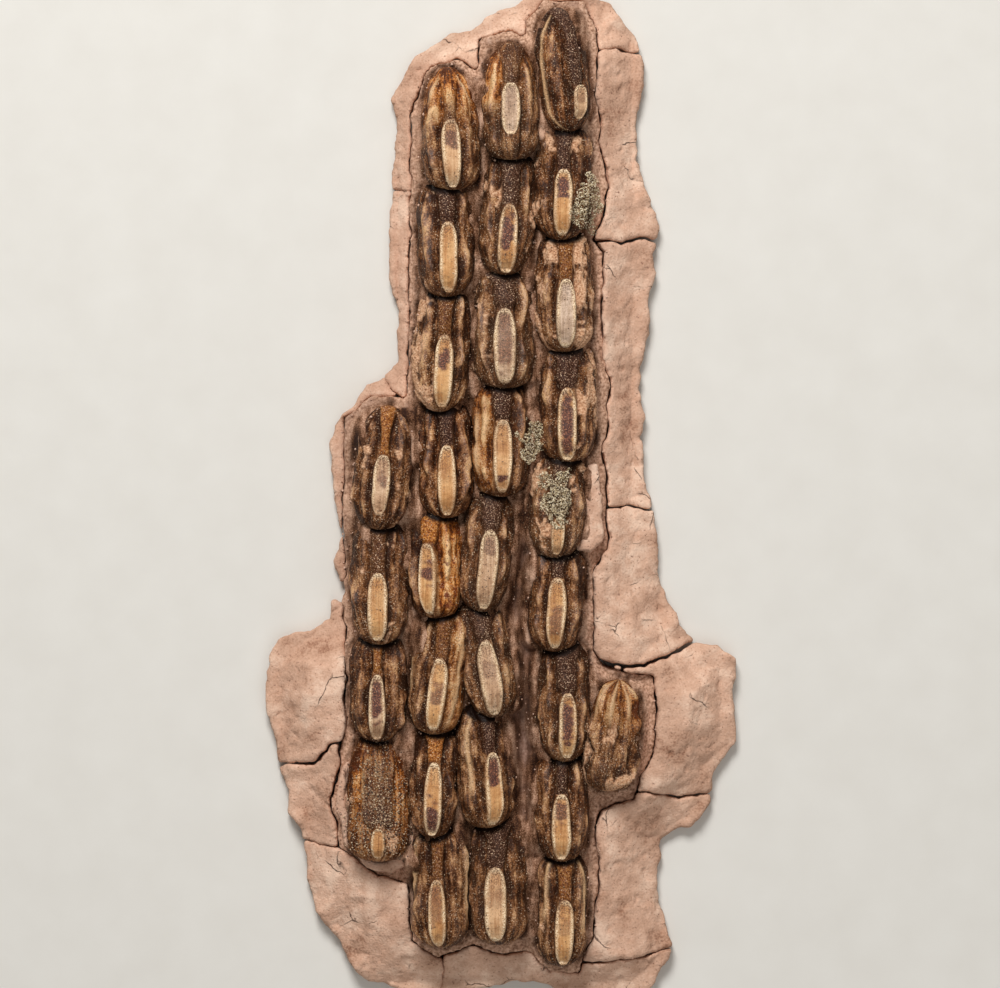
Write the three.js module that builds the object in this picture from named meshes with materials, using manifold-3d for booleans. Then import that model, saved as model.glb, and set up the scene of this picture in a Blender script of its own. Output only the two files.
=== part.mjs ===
// Egg mass of a spotted lanternfly, life size, lying on its back as it came off the bark.
// Thirty keg-shaped eggs stand in four columns on a thin bed of dried mud-like secretion,
// and what is left of the cracked covering lies round them as plates.
// Millimetres. +Y runs up the columns, +X across them to the right, +Z out of the bark.
// The origin is at the middle of the flat underside.

import * as THREE from "three";
import { mergeVertices } from "three/addons/utils/BufferGeometryUtils.js";
import Module from "manifold-3d";

const wasm = await Module();
wasm.setup();

// Clearance between neighbouring pieces, a thirtieth of an egg's width
const GAP = 0.05;

// The bed that the eggs stand in
const BED_TOP = 0.5;
const UNDERSIDE = BED_TOP + GAP;

// One egg: the axis climbs towards the lower end, which overhangs the egg below
const AXIS_HEIGHT = 1.12;
const AXIS_RISE = 0.15;
const HALF_DEPTH = 0.58;
const TUCK = 0.38;
const WIDEST_AT = 0.44;
const LOWER_FULLNESS = 0.45;
const UPPER_ROUNDNESS = 4.5;
const UPPER_FULLNESS = 0.5;
const SECTION_ROUNDNESS = 1.9;
const CREST_FOOT = 0.05;
const KEEL = 0.035;

// Places across an egg's section, as shares of its half width
const LID_LIMIT = 0.45;
const FOOT_LIMIT = 0.62;
const SHOULDER_AT = 0.7;
const KEEL_AT = 0.9;
const BILGE_AT = 0.85;
const BELLY_AT = 0.4;

// The raised crest from the lower tip to the upper one:
// share of the length, half width, height over the shoulders.
// The lid is the broad lower stretch, the neck the narrow middle, the fork the upper end.
const CREST = [
  { at: 0.015, half: 0.13, high: 0.11 },
  { at: 0.07, half: 0.19, high: 0.17 },
  { at: 0.17, half: 0.23, high: 0.19 },
  { at: 0.3, half: 0.235, high: 0.19 },
  { at: 0.43, half: 0.19, high: 0.18 },
  { at: 0.5, half: 0.14, high: 0.13 },
  { at: 0.62, half: 0.14, high: 0.13 },
  { at: 0.76, half: 0.17, high: 0.12 },
  { at: 0.88, half: 0.25, high: 0.09 },
  { at: 0.975, half: 0.22, high: 0.03 },
];

// The columns, each from its top down.
// top is the upper tip of the first egg and crown the roundness of its free upper end,
// low the lower tip of each egg, turn its turn on the bark and roll the lean of its crest
// to the right, in degrees, and blunt the roundness of its lower end.
const COLUMNS = [
  {
    name: "c3",
    top: 10.9,
    crown: 2.4,
    low: [8.02, 5.26, 2.54, -0.07, -2.83, -5.38, -8.02, -10.82],
    x: [0.26, 0.19, 0.1, 0.02, -0.31, -0.34, -0.41, -0.05],
    width: [1.46, 1.4, 1.52, 1.45, 1.3, 1.3, 1.42, 1.42],
    turn: [0, -4, 0, 0, -6, 10, 5, 1],
    roll: [0, 0, 0, 4, 0, 8, 26, 0],
    blunt: [6, 4, 6.5, 5, 4, 4, 5, 6],
  },
  {
    name: "c4",
    top: 11.74,
    crown: 2.5,
    low: [8.69, 6.1, 3.41, 0.77, -1.54, -3.79, -6.43, -8.83, -11.35],
    x: [1.49, 1.49, 1.54, 1.61, 1.39, 1.37, 1.54, 1.49, 1.51],
    width: [1.38, 1.4, 1.45, 1.45, 1.4, 1.4, 1.35, 1.35, 1.25],
    turn: [6, -2, 0, 0, -4, -4, 0, 0, -2],
    roll: [37, 0, 4, 0, 3, -4, 4, 0, 0],
    blunt: [4, 4, 4.5, 4.5, 3.5, 3.5, 3.5, 3.5, 3.5],
  },
  {
    name: "c1",
    top: 2.14,
    crown: 3.2,
    low: [-0.86, -3.62, -5.95, -8.83],
    x: [-2.81, -2.9, -2.93, -2.92],
    width: [1.46, 1.46, 1.46, 1.6],
    turn: [-5, 0, 0, 0],
    roll: [0, 0, 0, 0],
    blunt: [3.5, 3.5, 3.5, 6],
  },
  {
    name: "c2",
    top: 10.3,
    crown: 2.2,
    low: [7.3, 4.73, 1.97, -0.58, -2.98, -5.78, -8.26, -10.9],
    x: [-1.2, -1.3, -1.37, -1.3, -1.54, -1.44, -1.58, -1.42],
    width: [1.46, 1.45, 1.4, 1.45, 1.35, 1.4, 1.2, 1.4],
    turn: [3, 0, -3, 0, 0, -8, -2, 1],
    roll: [3, 0, 0, 0, -19, -8, 0, -6],
    blunt: [5.5, 3.5, 3.5, 4, 6, 5, 3.5, 5],
  },
  {
    name: "side",
    top: -4.46,
    crown: 3.2,
    low: [-7.15],
    x: [2.69],
    width: [1.35],
    turn: [-8],
    roll: [-5],
    blunt: [5],
  },
];

const shell = new THREE.MeshStandardMaterial({ color: 0x4a2f1c, roughness: 0.35, metalness: 0 });
const mud = new THREE.MeshStandardMaterial({ color: 0x6b5146, roughness: 0.9, metalness: 0 });
const covering = new THREE.MeshStandardMaterial({ color: 0xc9a38e, roughness: 0.95, metalness: 0 });

const group = new THREE.Group();

// A closed solid from a three.js geometry
function solidOf(geometry) {
  geometry.deleteAttribute("normal");
  geometry.deleteAttribute("uv");
  const merged = mergeVertices(geometry, 1e-5);
  const mesh = new wasm.Mesh({
    numProp: 3,
    vertProperties: new Float32Array(merged.attributes.position.array),
    triVerts: new Uint32Array(merged.index.array),
  });
  return new wasm.Manifold(mesh);
}

// The named mesh of a solid's largest closed piece
function addNode(name, solid, material) {
  const pieces = solid.decompose();
  const largest = pieces.reduce((a, b) => (a.volume() > b.volume() ? a : b));
  const { vertProperties, triVerts } = largest.getMesh();
  const geometry = new THREE.BufferGeometry();
  geometry.setAttribute("position", new THREE.BufferAttribute(vertProperties, 3));
  geometry.setIndex(new THREE.BufferAttribute(triVerts, 1));
  geometry.computeVertexNormals();
  const mesh = new THREE.Mesh(geometry, material);
  mesh.name = name;
  group.add(mesh);
}

// Share of the full width or depth at a share t of the egg's length
function fullness(t, egg) {
  if (t < WIDEST_AT) {
    const e = (WIDEST_AT - t) / WIDEST_AT;
    return (1 - e ** egg.blunt) ** LOWER_FULLNESS;
  }
  const e = (t - WIDEST_AT) / (1 - WIDEST_AT);
  return (1 - e ** egg.crown) ** UPPER_FULLNESS;
}

// Height of the body over its axis at a place across it
function bodyHeight(across, halfWidth, halfDepth) {
  const share = Math.min(1, Math.abs(across) / halfWidth);
  return halfDepth * (1 - share ** SECTION_ROUNDNESS) ** (1 / SECTION_ROUNDNESS);
}

// One cross-section of an egg: seven places on the right side, then the same on the left
const RING = 14;

function sectionOf(station, egg, grow) {
  const full = fullness(station.at, egg);
  const a = (egg.width / 2) * full + grow;
  const b = HALF_DEPTH * full + grow;
  const lid = Math.min(station.half, LID_LIMIT * a) + grow;
  const foot = Math.min(lid + CREST_FOOT, FOOT_LIMIT * a);
  const over = (across) => bodyHeight(across, a, b);
  const right = [
    [lid, over(lid) + station.high + grow],
    [foot, over(foot)],
    [SHOULDER_AT * a, over(SHOULDER_AT * a)],
    [KEEL_AT * a, over(KEEL_AT * a) + KEEL * full],
    [a, 0],
    [BILGE_AT * a, -over(BILGE_AT * a)],
    [BELLY_AT * a, -over(BELLY_AT * a)],
  ];
  const left = right.map(([across, up]) => [-across, up]).reverse();
  return [...right, ...left];
}

// An egg's closed surface, lofted through its sections from the lower tip to the upper one
function eggGeometry(egg, grow) {
  const length = egg.top - egg.low + 2 * grow;
  const roll = THREE.MathUtils.degToRad(egg.roll);
  const floor = grow > 0 ? 0 : UNDERSIDE;
  const axisAt = (t) => AXIS_HEIGHT + AXIS_RISE * (0.5 - t) * length;
  const points = [];
  const place = (across, along, up, t) => {
    const x = across * Math.cos(roll) + up * Math.sin(roll);
    const z = up * Math.cos(roll) - across * Math.sin(roll);
    points.push(x, along, Math.max(floor, z + axisAt(t)));
  };
  place(0, -length / 2, 0, 0);
  for (const station of CREST) {
    for (const [across, up] of sectionOf(station, egg, grow)) {
      place(across, (station.at - 0.5) * length, up, station.at);
    }
  }
  place(0, length / 2, 0, 1);

  const last = points.length / 3 - 1;
  const index = [];
  for (let i = 0; i < RING; i += 1) {
    const next = (i + 1) % RING;
    index.push(0, 1 + next, 1 + i);
    for (let s = 0; s < CREST.length - 1; s += 1) {
      const lower = 1 + s * RING;
      const upper = lower + RING;
      index.push(lower + i, upper + next, upper + i);
      index.push(lower + i, lower + next, upper + next);
    }
    index.push(last, last - RING + i, last - RING + next);
  }
  const geometry = new THREE.BufferGeometry();
  geometry.setAttribute("position", new THREE.Float32BufferAttribute(points, 3));
  geometry.setIndex(index);
  geometry.rotateZ(THREE.MathUtils.degToRad(egg.turn));
  geometry.translate(egg.x, (egg.top + egg.low) / 2, 0);
  return geometry;
}

// Every egg with its own values, the tucked ones lengthened under the egg above
const eggs = COLUMNS.flatMap((column) =>
  column.low.map((low, i) => ({
    name: `egg_${column.name}_${i + 1}`,
    low,
    top: i === 0 ? column.top : column.low[i - 1] + TUCK,
    crown: i === 0 ? column.crown : UPPER_ROUNDNESS,
    x: column.x[i],
    width: column.width[i],
    turn: column.turn[i],
    roll: column.roll[i],
    blunt: column.blunt[i],
  })),
);

const grown = new Map();
for (const egg of eggs) {
  let solid = solidOf(eggGeometry(egg, 0));
  for (const earlier of grown.values()) {
    solid = solid.subtract(earlier);
  }
  grown.set(egg.name, solidOf(eggGeometry(egg, GAP)));
  addNode(egg.name, solid, shell);
}

// Edge of the field of eggs, from the top of the right column round to the left
const FIELD = [
  [1.1, 11.85], [1.95, 11.9], [2.25, 11.3], [2.35, 8.5], [2.55, 7.4], [2.2, 6.1], [2.4, 5.8],
  [2.45, 3.4], [2.6, 2.6], [2.45, 1.0], [2.5, 0.5], [2.5, -1.3], [2.15, -1.9], [2.2, -3.8],
  [2.5, -4.2], [3.6, -4.4], [3.75, -5.9], [3.2, -7.3], [2.3, -7.6], [2.25, -10.6], [1.9, -11.45],
  [1.2, -11.5], [0.75, -11.0], [-0.1, -11.05], [-0.7, -10.85], [-1.5, -11.1], [-2.1, -10.8],
  [-2.2, -9.4], [-2.9, -9.15], [-3.75, -8.5], [-4.0, -7.5], [-3.85, -6.6], [-3.65, -5.6],
  [-3.72, -0.8], [-3.72, 1.8], [-3.1, 2.25], [-2.2, 2.3], [-2.1, 3.4], [-2.15, 6.3], [-2.1, 7.6],
  [-2.1, 9.2], [-1.65, 10.3], [-1.0, 10.45], [-0.55, 10.2], [-0.45, 10.9], [0.2, 11.15],
  [0.7, 11.0], [0.75, 11.4],
];

// Outer margin of the covering, the same way round
const MARGIN = [
  [0.9, 12.19], [2.2, 12.15], [3.1, 11.5], [3.5, 10.4], [3.3, 9.2], [3.8, 6.4], [3.6, 4.2],
  [3.5, 0.8], [3.9, -1.0], [4.1, -2.6], [4.8, -3.5], [5.6, -4.0], [5.71, -5.9], [5.15, -6.9],
  [5.0, -7.9], [4.2, -8.2], [3.85, -8.8], [4.1, -10.2], [4.0, -11.5], [3.3, -12.15], [1.9, -12.19],
  [0.5, -11.9], [-1.2, -12.1], [-3.3, -11.9], [-3.95, -10.9], [-4.8, -9.3], [-4.75, -8.5],
  [-5.4, -6.7], [-5.71, -5.0], [-5.6, -3.9], [-5.0, -3.2], [-4.2, -3.0], [-3.95, -2.2], [-4.05, 0.2],
  [-3.95, 2.0], [-3.2, 2.6], [-2.6, 3.2], [-2.7, 5.8], [-2.55, 8.2], [-2.6, 9.6], [-2.1, 10.7],
  [-1.2, 11.2], [-0.4, 11.5], [0.3, 11.8],
];

// Cracks from the field out past the margin, each with its width
const CRACKS = [
  { width: 0.08, line: [[2.1, 10.6], [2.8, 10.8], [3.9, 10.5]] },
  { width: 0.12, line: [[2.0, 6.1], [2.5, 6.1], [2.9, 6.0], [3.3, 6.2], [4.2, 6.1]] },
  { width: 0.08, line: [[2.0, -0.3], [2.75, -0.35], [3.1, -0.25], [3.6, -0.4], [4.3, -0.2]] },
  { width: 0.14, line: [[2.0, -3.9], [2.6, -4.1], [3.5, -4.15], [4.0, -3.9], [5.2, -3.4]] },
  { width: 0.1, line: [[2.9, -7.2], [3.5, -7.15], [4.3, -7.35], [5.5, -7.1]] },
  { width: 0.08, line: [[1.7, -11.3], [2.4, -11.3], [3.3, -11.2], [4.4, -10.9]] },
  { width: 0.07, line: [[-1.5, -10.9], [-1.35, -11.5], [-1.5, -12.4]] },
  { width: 0.1, line: [[-3.6, -8.6], [-4.3, -8.5], [-5.2, -8.25]] },
  { width: 0.12, line: [[-3.4, -5.85], [-4.0, -6.0], [-4.5, -6.5], [-5.8, -6.6]] },
  { width: 0.07, line: [[-3.4, -2.6], [-3.9, -2.6], [-4.4, -2.3]] },
  { width: 0.07, line: [[-2.0, 2.1], [-2.6, 2.5], [-3.0, 3.2]] },
  { width: 0.07, line: [[-1.9, 7.4], [-2.3, 7.3], [-2.9, 7.5]] },
];

// Each plate between two cracks, with a place on it
const PLATES = {
  crust_top: [0.4, 11.5],
  crust_right_upper: [3.0, 8.0],
  crust_right_middle: [3.0, 3.0],
  crust_right_lower: [3.0, -2.0],
  crust_shoulder: [4.6, -5.4],
  crust_heel: [3.1, -9.5],
  crust_foot_right: [0.4, -11.5],
  crust_foot_left: [-3.0, -10.4],
  crust_left_lower: [-4.5, -7.4],
  crust_left_upper: [-4.7, -4.4],
  crust_left_edge: [-3.85, 0],
  crust_strip: [-2.4, 5.0],
};

// Two broken pieces of covering that still cling to eggs: a cradle round the lowest egg
// on the left, and a chip on the flank of an egg on the right
const FRAGMENTS = {
  crust_cradle: [
    [-3.5, -6.15], [-3.8, -6.7], [-3.93, -7.5], [-3.7, -8.4], [-3.2, -8.95], [-2.6, -9.1],
    [-2.2, -8.9], [-2.1, -8.3], [-2.2, -7.6], [-2.8, -7.0],
  ],
  crust_chip: [
    [1.9, 0.55], [2.3, 0.7], [2.42, -0.1], [2.42, -1.1], [2.2, -1.4], [1.85, -1.3], [1.8, -0.5],
  ],
};
const FRAGMENT_TOP = 1.15;

// The covering is full beside the eggs and thins to its rim
const CRUST_FULL = 1.0;
const CRUST_RIM = 0.24;
const CRUST_TAPER = 1.3;
const WAVE = 0.06;

// The grid of the covering's top
const SHEET_WIDTH = 12;
const SHEET_LENGTH = 25;
const CELL = 0.7;

// Broken edges: a point about every EDGE_STEP, pushed outwards by a random length
const SEED = 11;
const EDGE_STEP = 0.6;
const FIELD_PUSH = [0, 0.12];
const MARGIN_PUSH = [-0.2, 0.04];

// Heights that every cutting block spans
const CUT_LOW = -1;
const CUT_HIGH = 3;

// A small post that finds the plate that it stands in
const POST = 0.05;

const vectors = (points) => points.map(([x, y]) => new THREE.Vector2(x, y));

// A closed outline moved outwards by a distance, for points that run clockwise
function offsetOutline(points, distance) {
  return points.map((point, i) => {
    const before = points[(i + points.length - 1) % points.length];
    const after = points[(i + 1) % points.length];
    const way = after.clone().sub(before).normalize();
    return new THREE.Vector2(point.x - way.y * distance, point.y + way.x * distance);
  });
}

// A closed outline with more points, each pushed outwards by a length between two limits
function ragged(points, [least, most]) {
  return points.flatMap((point, i) => {
    const way = points[(i + 1) % points.length].clone().sub(point);
    const outwards = new THREE.Vector2(-way.y, way.x).normalize();
    const steps = Math.max(1, Math.round(way.length() / EDGE_STEP));
    return Array.from({ length: steps }, (_, k) => {
      const push = THREE.MathUtils.lerp(least, most, THREE.MathUtils.seededRandom());
      return point.clone().addScaledVector(way, k / steps).addScaledVector(outwards, push);
    });
  });
}

// A straight-sided block of an outline between two heights
function blockOf(outline, low, high) {
  const geometry = new THREE.ExtrudeGeometry(new THREE.Shape(outline), {
    depth: high - low,
    bevelEnabled: false,
  });
  geometry.translate(0, 0, low);
  return solidOf(geometry);
}

// A thin standing wall along an open line
function wallAlong(line, width) {
  const points = vectors(line);
  const side = (sign) =>
    points.map((point, i) => {
      const before = points[Math.max(0, i - 1)];
      const after = points[Math.min(points.length - 1, i + 1)];
      const way = after.clone().sub(before).normalize();
      const step = (sign * width) / 2;
      return new THREE.Vector2(point.x - way.y * step, point.y + way.x * step);
    });
  return blockOf([...side(1), ...side(-1).reverse()], CUT_LOW, CUT_HIGH);
}

THREE.MathUtils.seededRandom(SEED);
const field = ragged(vectors(FIELD), FIELD_PUSH);
const smoothMargin = new THREE.CatmullRomCurve3(
  MARGIN.map(([x, y]) => new THREE.Vector3(x, y, 0)),
  true,
).getPoints(2 * MARGIN.length).slice(0, -1).map((p) => new THREE.Vector2(p.x, p.y));
const margin = ragged(smoothMargin, MARGIN_PUSH);

function distanceToMargin(x, y) {
  const here = new THREE.Vector3(x, y, 0);
  const foot = new THREE.Vector3();
  const sides = margin.map((point, i) => {
    const next = margin[(i + 1) % margin.length];
    const side = new THREE.Line3(
      new THREE.Vector3(point.x, point.y, 0),
      new THREE.Vector3(next.x, next.y, 0),
    );
    side.closestPointToPoint(here, true, foot);
    return foot.distanceTo(here);
  });
  return Math.min(...sides);
}

function crustTop(x, y) {
  const inward = THREE.MathUtils.smoothstep(distanceToMargin(x, y), 0, CRUST_TAPER);
  const wave = WAVE * Math.sin(1.7 * x + 0.6) * Math.cos(1.1 * y);
  return CRUST_RIM + (CRUST_FULL - CRUST_RIM) * inward + wave;
}

// The covering before it broke: a flat underside and a gently waving top
function crustSheet() {
  const columns = Math.round(SHEET_WIDTH / CELL);
  const rows = Math.round(SHEET_LENGTH / CELL);
  const geometry = new THREE.BoxGeometry(SHEET_WIDTH, SHEET_LENGTH, 1, columns, rows, 1);
  geometry.translate(0, 0, 0.5);
  const place = geometry.attributes.position;
  for (let i = 0; i < place.count; i += 1) {
    if (place.getZ(i) > 0.5) {
      place.setZ(i, crustTop(place.getX(i), place.getY(i)));
    }
  }
  return solidOf(geometry);
}

addNode("bed", blockOf(field, 0, BED_TOP), mud);

let crust = crustSheet().intersect(blockOf(margin, CUT_LOW, CUT_HIGH));
crust = crust.subtract(blockOf(offsetOutline(field, GAP), CUT_LOW, CUT_HIGH));
for (const crack of CRACKS) {
  crust = crust.subtract(wallAlong(crack.line, crack.width));
}
for (const [name, outline] of Object.entries(FRAGMENTS)) {
  let fragment = blockOf(vectors(outline), UNDERSIDE, FRAGMENT_TOP);
  for (const neighbour of grown.values()) {
    fragment = fragment.subtract(neighbour);
  }
  addNode(name, fragment, covering);
}
const pieces = crust.decompose();
for (const [name, [x, y]] of Object.entries(PLATES)) {
  const post = blockOf(vectors([[x - POST, y - POST], [x + POST, y - POST], [x, y + POST]]), 0, POST);
  const plate = pieces.find((piece) => piece.intersect(post).volume() > 0);
  addNode(name, plate, covering);
}

export default group;
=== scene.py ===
# %% [markdown]
# # A lanternfly's egg mass in Blender
# The object is the size of a postage stamp: thirty brown eggs like small kegs, laid in four
# columns on a thin bed of dried secretion, with the rest of their cracked covering round them.
# Every size in this file is in millimetres. The last step of each piece scales it to metres,
# because the frame, and Blender, work in metres.

# %% Load the frame
import math
import random

import bmesh
import bpy
import numpy as np
from mathutils import Euler, Matrix, Vector, noise
from mathutils.bvhtree import BVHTree
from mathutils.kdtree import KDTree


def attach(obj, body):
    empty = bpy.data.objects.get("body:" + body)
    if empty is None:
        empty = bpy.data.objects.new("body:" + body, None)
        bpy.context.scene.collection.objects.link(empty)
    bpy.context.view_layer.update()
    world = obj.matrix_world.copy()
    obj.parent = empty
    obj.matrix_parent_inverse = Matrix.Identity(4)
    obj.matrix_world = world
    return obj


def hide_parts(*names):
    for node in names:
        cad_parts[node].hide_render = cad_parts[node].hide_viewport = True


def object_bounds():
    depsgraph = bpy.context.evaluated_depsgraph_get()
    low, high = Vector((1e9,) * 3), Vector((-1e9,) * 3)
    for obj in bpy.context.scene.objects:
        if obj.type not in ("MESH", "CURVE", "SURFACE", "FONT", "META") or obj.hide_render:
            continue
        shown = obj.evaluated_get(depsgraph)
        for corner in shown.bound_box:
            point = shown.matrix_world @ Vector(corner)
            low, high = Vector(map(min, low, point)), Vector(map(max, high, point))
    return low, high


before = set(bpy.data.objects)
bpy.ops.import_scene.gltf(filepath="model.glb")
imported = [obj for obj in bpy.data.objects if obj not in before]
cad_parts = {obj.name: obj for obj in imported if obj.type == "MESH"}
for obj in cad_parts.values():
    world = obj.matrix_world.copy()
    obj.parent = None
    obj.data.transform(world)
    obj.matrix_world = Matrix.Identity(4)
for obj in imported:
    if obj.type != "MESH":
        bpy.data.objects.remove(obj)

MM = 0.001
cad_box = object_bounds()
collection = bpy.context.scene.collection
print("frame", len(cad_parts), "nodes, size in mm", [round(v / MM, 2) for v in cad_box[1] - cad_box[0]])

# %% [markdown]
# ## Camera, light and floor
# The photo faces the lids of the eggs squarely, so the camera looks straight down at the mass as
# it lies on the floor. A long lens keeps the sides of the eggs out of sight, as a macro lens does.
# The picture is 1000 pixels wide and one pixel is 0.024 mm, which gives the width of the view,
# and width, lens and sensor give the distance.

# %% Camera
PIXEL = 0.024
PIXELS_ACROSS = 1000
VIEW_WIDTH = PIXELS_ACROSS * PIXEL
LENS = 200
SENSOR = 36
FOCUS_HEIGHT = 1.5
distance = VIEW_WIDTH * LENS / SENSOR

camera_data = bpy.data.cameras.new("camera")
camera_data.lens = LENS
camera_data.sensor_width = SENSOR
camera_data.clip_start = 0.001
camera = bpy.data.objects.new("camera", camera_data)
camera.location = (0, 0, (distance + FOCUS_HEIGHT) * MM)
collection.objects.link(camera)
bpy.context.scene.camera = camera
print("camera", round(distance, 1), "mm above the eggs")


# %% [markdown]
# Soft daylight comes from the top of the picture, so each egg throws a dark crescent below its
# raised lower end. Two area lights make it: a strong one from beyond the top of the picture, and
# a weak and wide one from its lower right. The world's even light fills the gaps.

# %% Lights
def soft_light(name, place, size, power):
    data = bpy.data.lights.new(name, "AREA")
    data.size = size * MM
    data.energy = power
    light = bpy.data.objects.new(name, data)
    light.location = Vector(place) * MM
    light.rotation_euler = (-light.location).to_track_quat("-Z", "Y").to_euler()
    collection.objects.link(light)


soft_light("key_light", (-15, 75, 80), 40, 0.118)
soft_light("fill_light", (25, -45, 80), 70, 0.018)

world = bpy.data.worlds.new("studio")
world.use_nodes = True
background = world.node_tree.nodes["Background"]
background.inputs["Color"].default_value = (1.0, 0.97, 0.93, 1.0)
background.inputs["Strength"].default_value = 0.22
bpy.context.scene.world = world
bpy.context.scene.view_settings.view_transform = "Standard"
print("lights", len(bpy.data.lights))


# %% [markdown]
# ## Helpers for materials
# A colour is picked as a hex value on a screen, and Blender wants it linear, so one function
# turns it. Another adds a shader node, sets its values, links its sockets and gives back the
# output that the next node reads, which keeps a long chain of nodes short to write.

# %% Colour and node helpers
def colour(hex_value):
    def linear(byte):
        share = byte / 255
        return share / 12.92 if share <= 0.04045 else ((share + 0.055) / 1.055) ** 2.4

    channels = [linear(int(hex_value[i:i + 2], 16)) for i in (1, 3, 5)]
    return (*channels, 1.0)


def add_node(tree, kind, output, sockets=None, stops=None, **settings):
    node = tree.nodes.new(kind)
    for key, value in settings.items():
        setattr(node, key, value)
    for key, value in (sockets or {}).items():
        if isinstance(value, bpy.types.NodeSocket):
            tree.links.new(value, node.inputs[key])
        else:
            node.inputs[key].default_value = value
    if stops:
        elements = node.color_ramp.elements
        elements[0].position, elements[0].color = stops[0][0], colour(stops[0][1])
        elements[1].position, elements[1].color = stops[-1][0], colour(stops[-1][1])
        for place, hex_value in stops[1:-1]:
            elements.new(place).color = colour(hex_value)
    return node.outputs[output]


# %% [markdown]
# A Mix node for colours keeps its factor, first and second colour under the numbers 0, 6 and 7
# and its result under 2. Every pattern on this object is given in millimetres, so the next
# helper scales the object's own coordinates from metres.

# %% Coordinates in millimetres
FACTOR, FIRST, SECOND, MIXED = 0, 6, 7, 2


def new_material(name):
    material = bpy.data.materials.new(name)
    material.use_nodes = True
    tree = material.node_tree
    place = add_node(tree, "ShaderNodeTexCoord", "Object")
    in_mm = add_node(tree, "ShaderNodeVectorMath", 0, {0: place, 3: 1 / MM}, operation="SCALE")
    return material, tree, tree.nodes["Principled BSDF"], in_mm


# %% [markdown]
# The mass lies on a sheet of off-white card, matt and faintly clouded, so that it shows alone.
# A small function turns an edited shape into a mesh, for this sheet and for every piece below.

# %% Floor
FLOOR_HALF = 600


def mesh_from(bm, name):
    mesh = bpy.data.meshes.new(name)
    bm.to_mesh(mesh)
    bm.free()
    return mesh


def floor_material():
    material, tree, shader, in_mm = new_material("matt_card")
    cloud = add_node(tree, "ShaderNodeTexNoise", "Fac", {"Vector": in_mm, "Scale": 0.9, "Detail": 3.0})
    tones = {FACTOR: cloud, FIRST: colour("#d9d5cd"), SECOND: colour("#e2dfd8")}
    tint = add_node(tree, "ShaderNodeMix", MIXED, tones, data_type="RGBA")
    tree.links.new(tint, shader.inputs["Base Color"])
    shader.inputs["Roughness"].default_value = 0.9
    return material


bm = bmesh.new()
bmesh.ops.create_grid(bm, x_segments=1, y_segments=1, size=FLOOR_HALF * MM)
floor = bpy.data.objects.new("floor", mesh_from(bm, "floor"))
floor.data.materials.append(floor_material())
collection.objects.link(floor)
print("floor laid")

# %% [markdown]
# ## Where the eggs lie
# The eggs stand in columns, and each one's lower end rides up over the upper end of the next,
# like roof tiles laid from the bottom of the picture. The values are those of the frame's
# solids. Each column has, from the top down, the lower tip of every egg, its middle line, its
# width, its turn in the picture and its roll on its own axis in degrees, and how blunt its lower
# end is. Crown is the same for the free upper end of the first egg, and top is where that end
# lies. The order of the columns also numbers the eggs, and with that sets their seeds.

# %% Values of the eggs
TUCK = 0.38    # how much of an egg lies under the one above it
COLUMNS = {
    "c3": {
        "top": 10.9,
        "crown": 2.4,
        "low": [8.02, 5.26, 2.54, -0.07, -2.83, -5.38, -8.02, -10.82],
        "x": [0.26, 0.19, 0.1, 0.02, -0.31, -0.34, -0.41, -0.05],
        "width": [1.46, 1.4, 1.52, 1.45, 1.3, 1.3, 1.42, 1.42],
        "turn": [0, -4, 0, 0, -6, 10, 5, 1],
        "roll": [0, 0, 0, 4, 0, 8, 26, 0],
        "blunt": [6, 4, 6.5, 5, 4, 4, 5, 6],
    },
    "c4": {
        "top": 11.74,
        "crown": 2.5,
        "low": [8.69, 6.1, 3.41, 0.77, -1.54, -3.79, -6.43, -8.83, -11.35],
        "x": [1.49, 1.49, 1.54, 1.61, 1.39, 1.37, 1.54, 1.49, 1.51],
        "width": [1.38, 1.4, 1.45, 1.45, 1.4, 1.4, 1.35, 1.35, 1.25],
        "turn": [6, -2, 0, 0, -4, -4, 0, 0, -2],
        "roll": [37, 0, 4, 0, 3, -4, 4, 0, 0],
        "blunt": [4, 4, 4.5, 4.5, 3.5, 3.5, 3.5, 3.5, 3.5],
    },
    "c1": {
        "top": 2.14,
        "crown": 3.2,
        "low": [-0.86, -3.62, -5.95, -8.83],
        "x": [-2.81, -2.9, -2.93, -2.92],
        "width": [1.46, 1.46, 1.46, 1.6],
        "turn": [-5, 0, 0, 0],
        "roll": [0, 0, 0, 0],
        "blunt": [3.5, 3.5, 3.5, 6],
    },
    "c2": {
        "top": 10.3,
        "crown": 2.2,
        "low": [7.3, 4.73, 1.97, -0.58, -2.98, -5.78, -8.26, -10.9],
        "x": [-1.2, -1.3, -1.37, -1.3, -1.54, -1.44, -1.58, -1.42],
        "width": [1.46, 1.45, 1.4, 1.45, 1.35, 1.4, 1.2, 1.4],
        "turn": [3, 0, -3, 0, 0, -8, -2, 1],
        "roll": [3, 0, 0, 0, -19, -8, 0, -6],
        "blunt": [5.5, 3.5, 3.5, 4, 6, 5, 3.5, 5],
    },
    "side": {
        "top": -4.46,
        "crown": 3.2,
        "low": [-7.15],
        "x": [2.69],
        "width": [1.35],
        "turn": [-8],
        "roll": [-5],
        "blunt": [5],
    },
}
UPPER_ROUNDNESS = 4.5

eggs = {}
for column, values in COLUMNS.items():
    for i in range(len(values["low"])):
        eggs[f"{column}_{i + 1}"] = {
            **{key: values[key][i] for key in ("low", "x", "width", "turn", "roll", "blunt")},
            "top": values["top"] if i == 0 else values["low"][i - 1] + TUCK,
            "crown": values["crown"] if i == 0 else UPPER_ROUNDNESS,
            "above": None if i == 0 else f"{column}_{i}",
        }
print("eggs", len(eggs))

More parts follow.
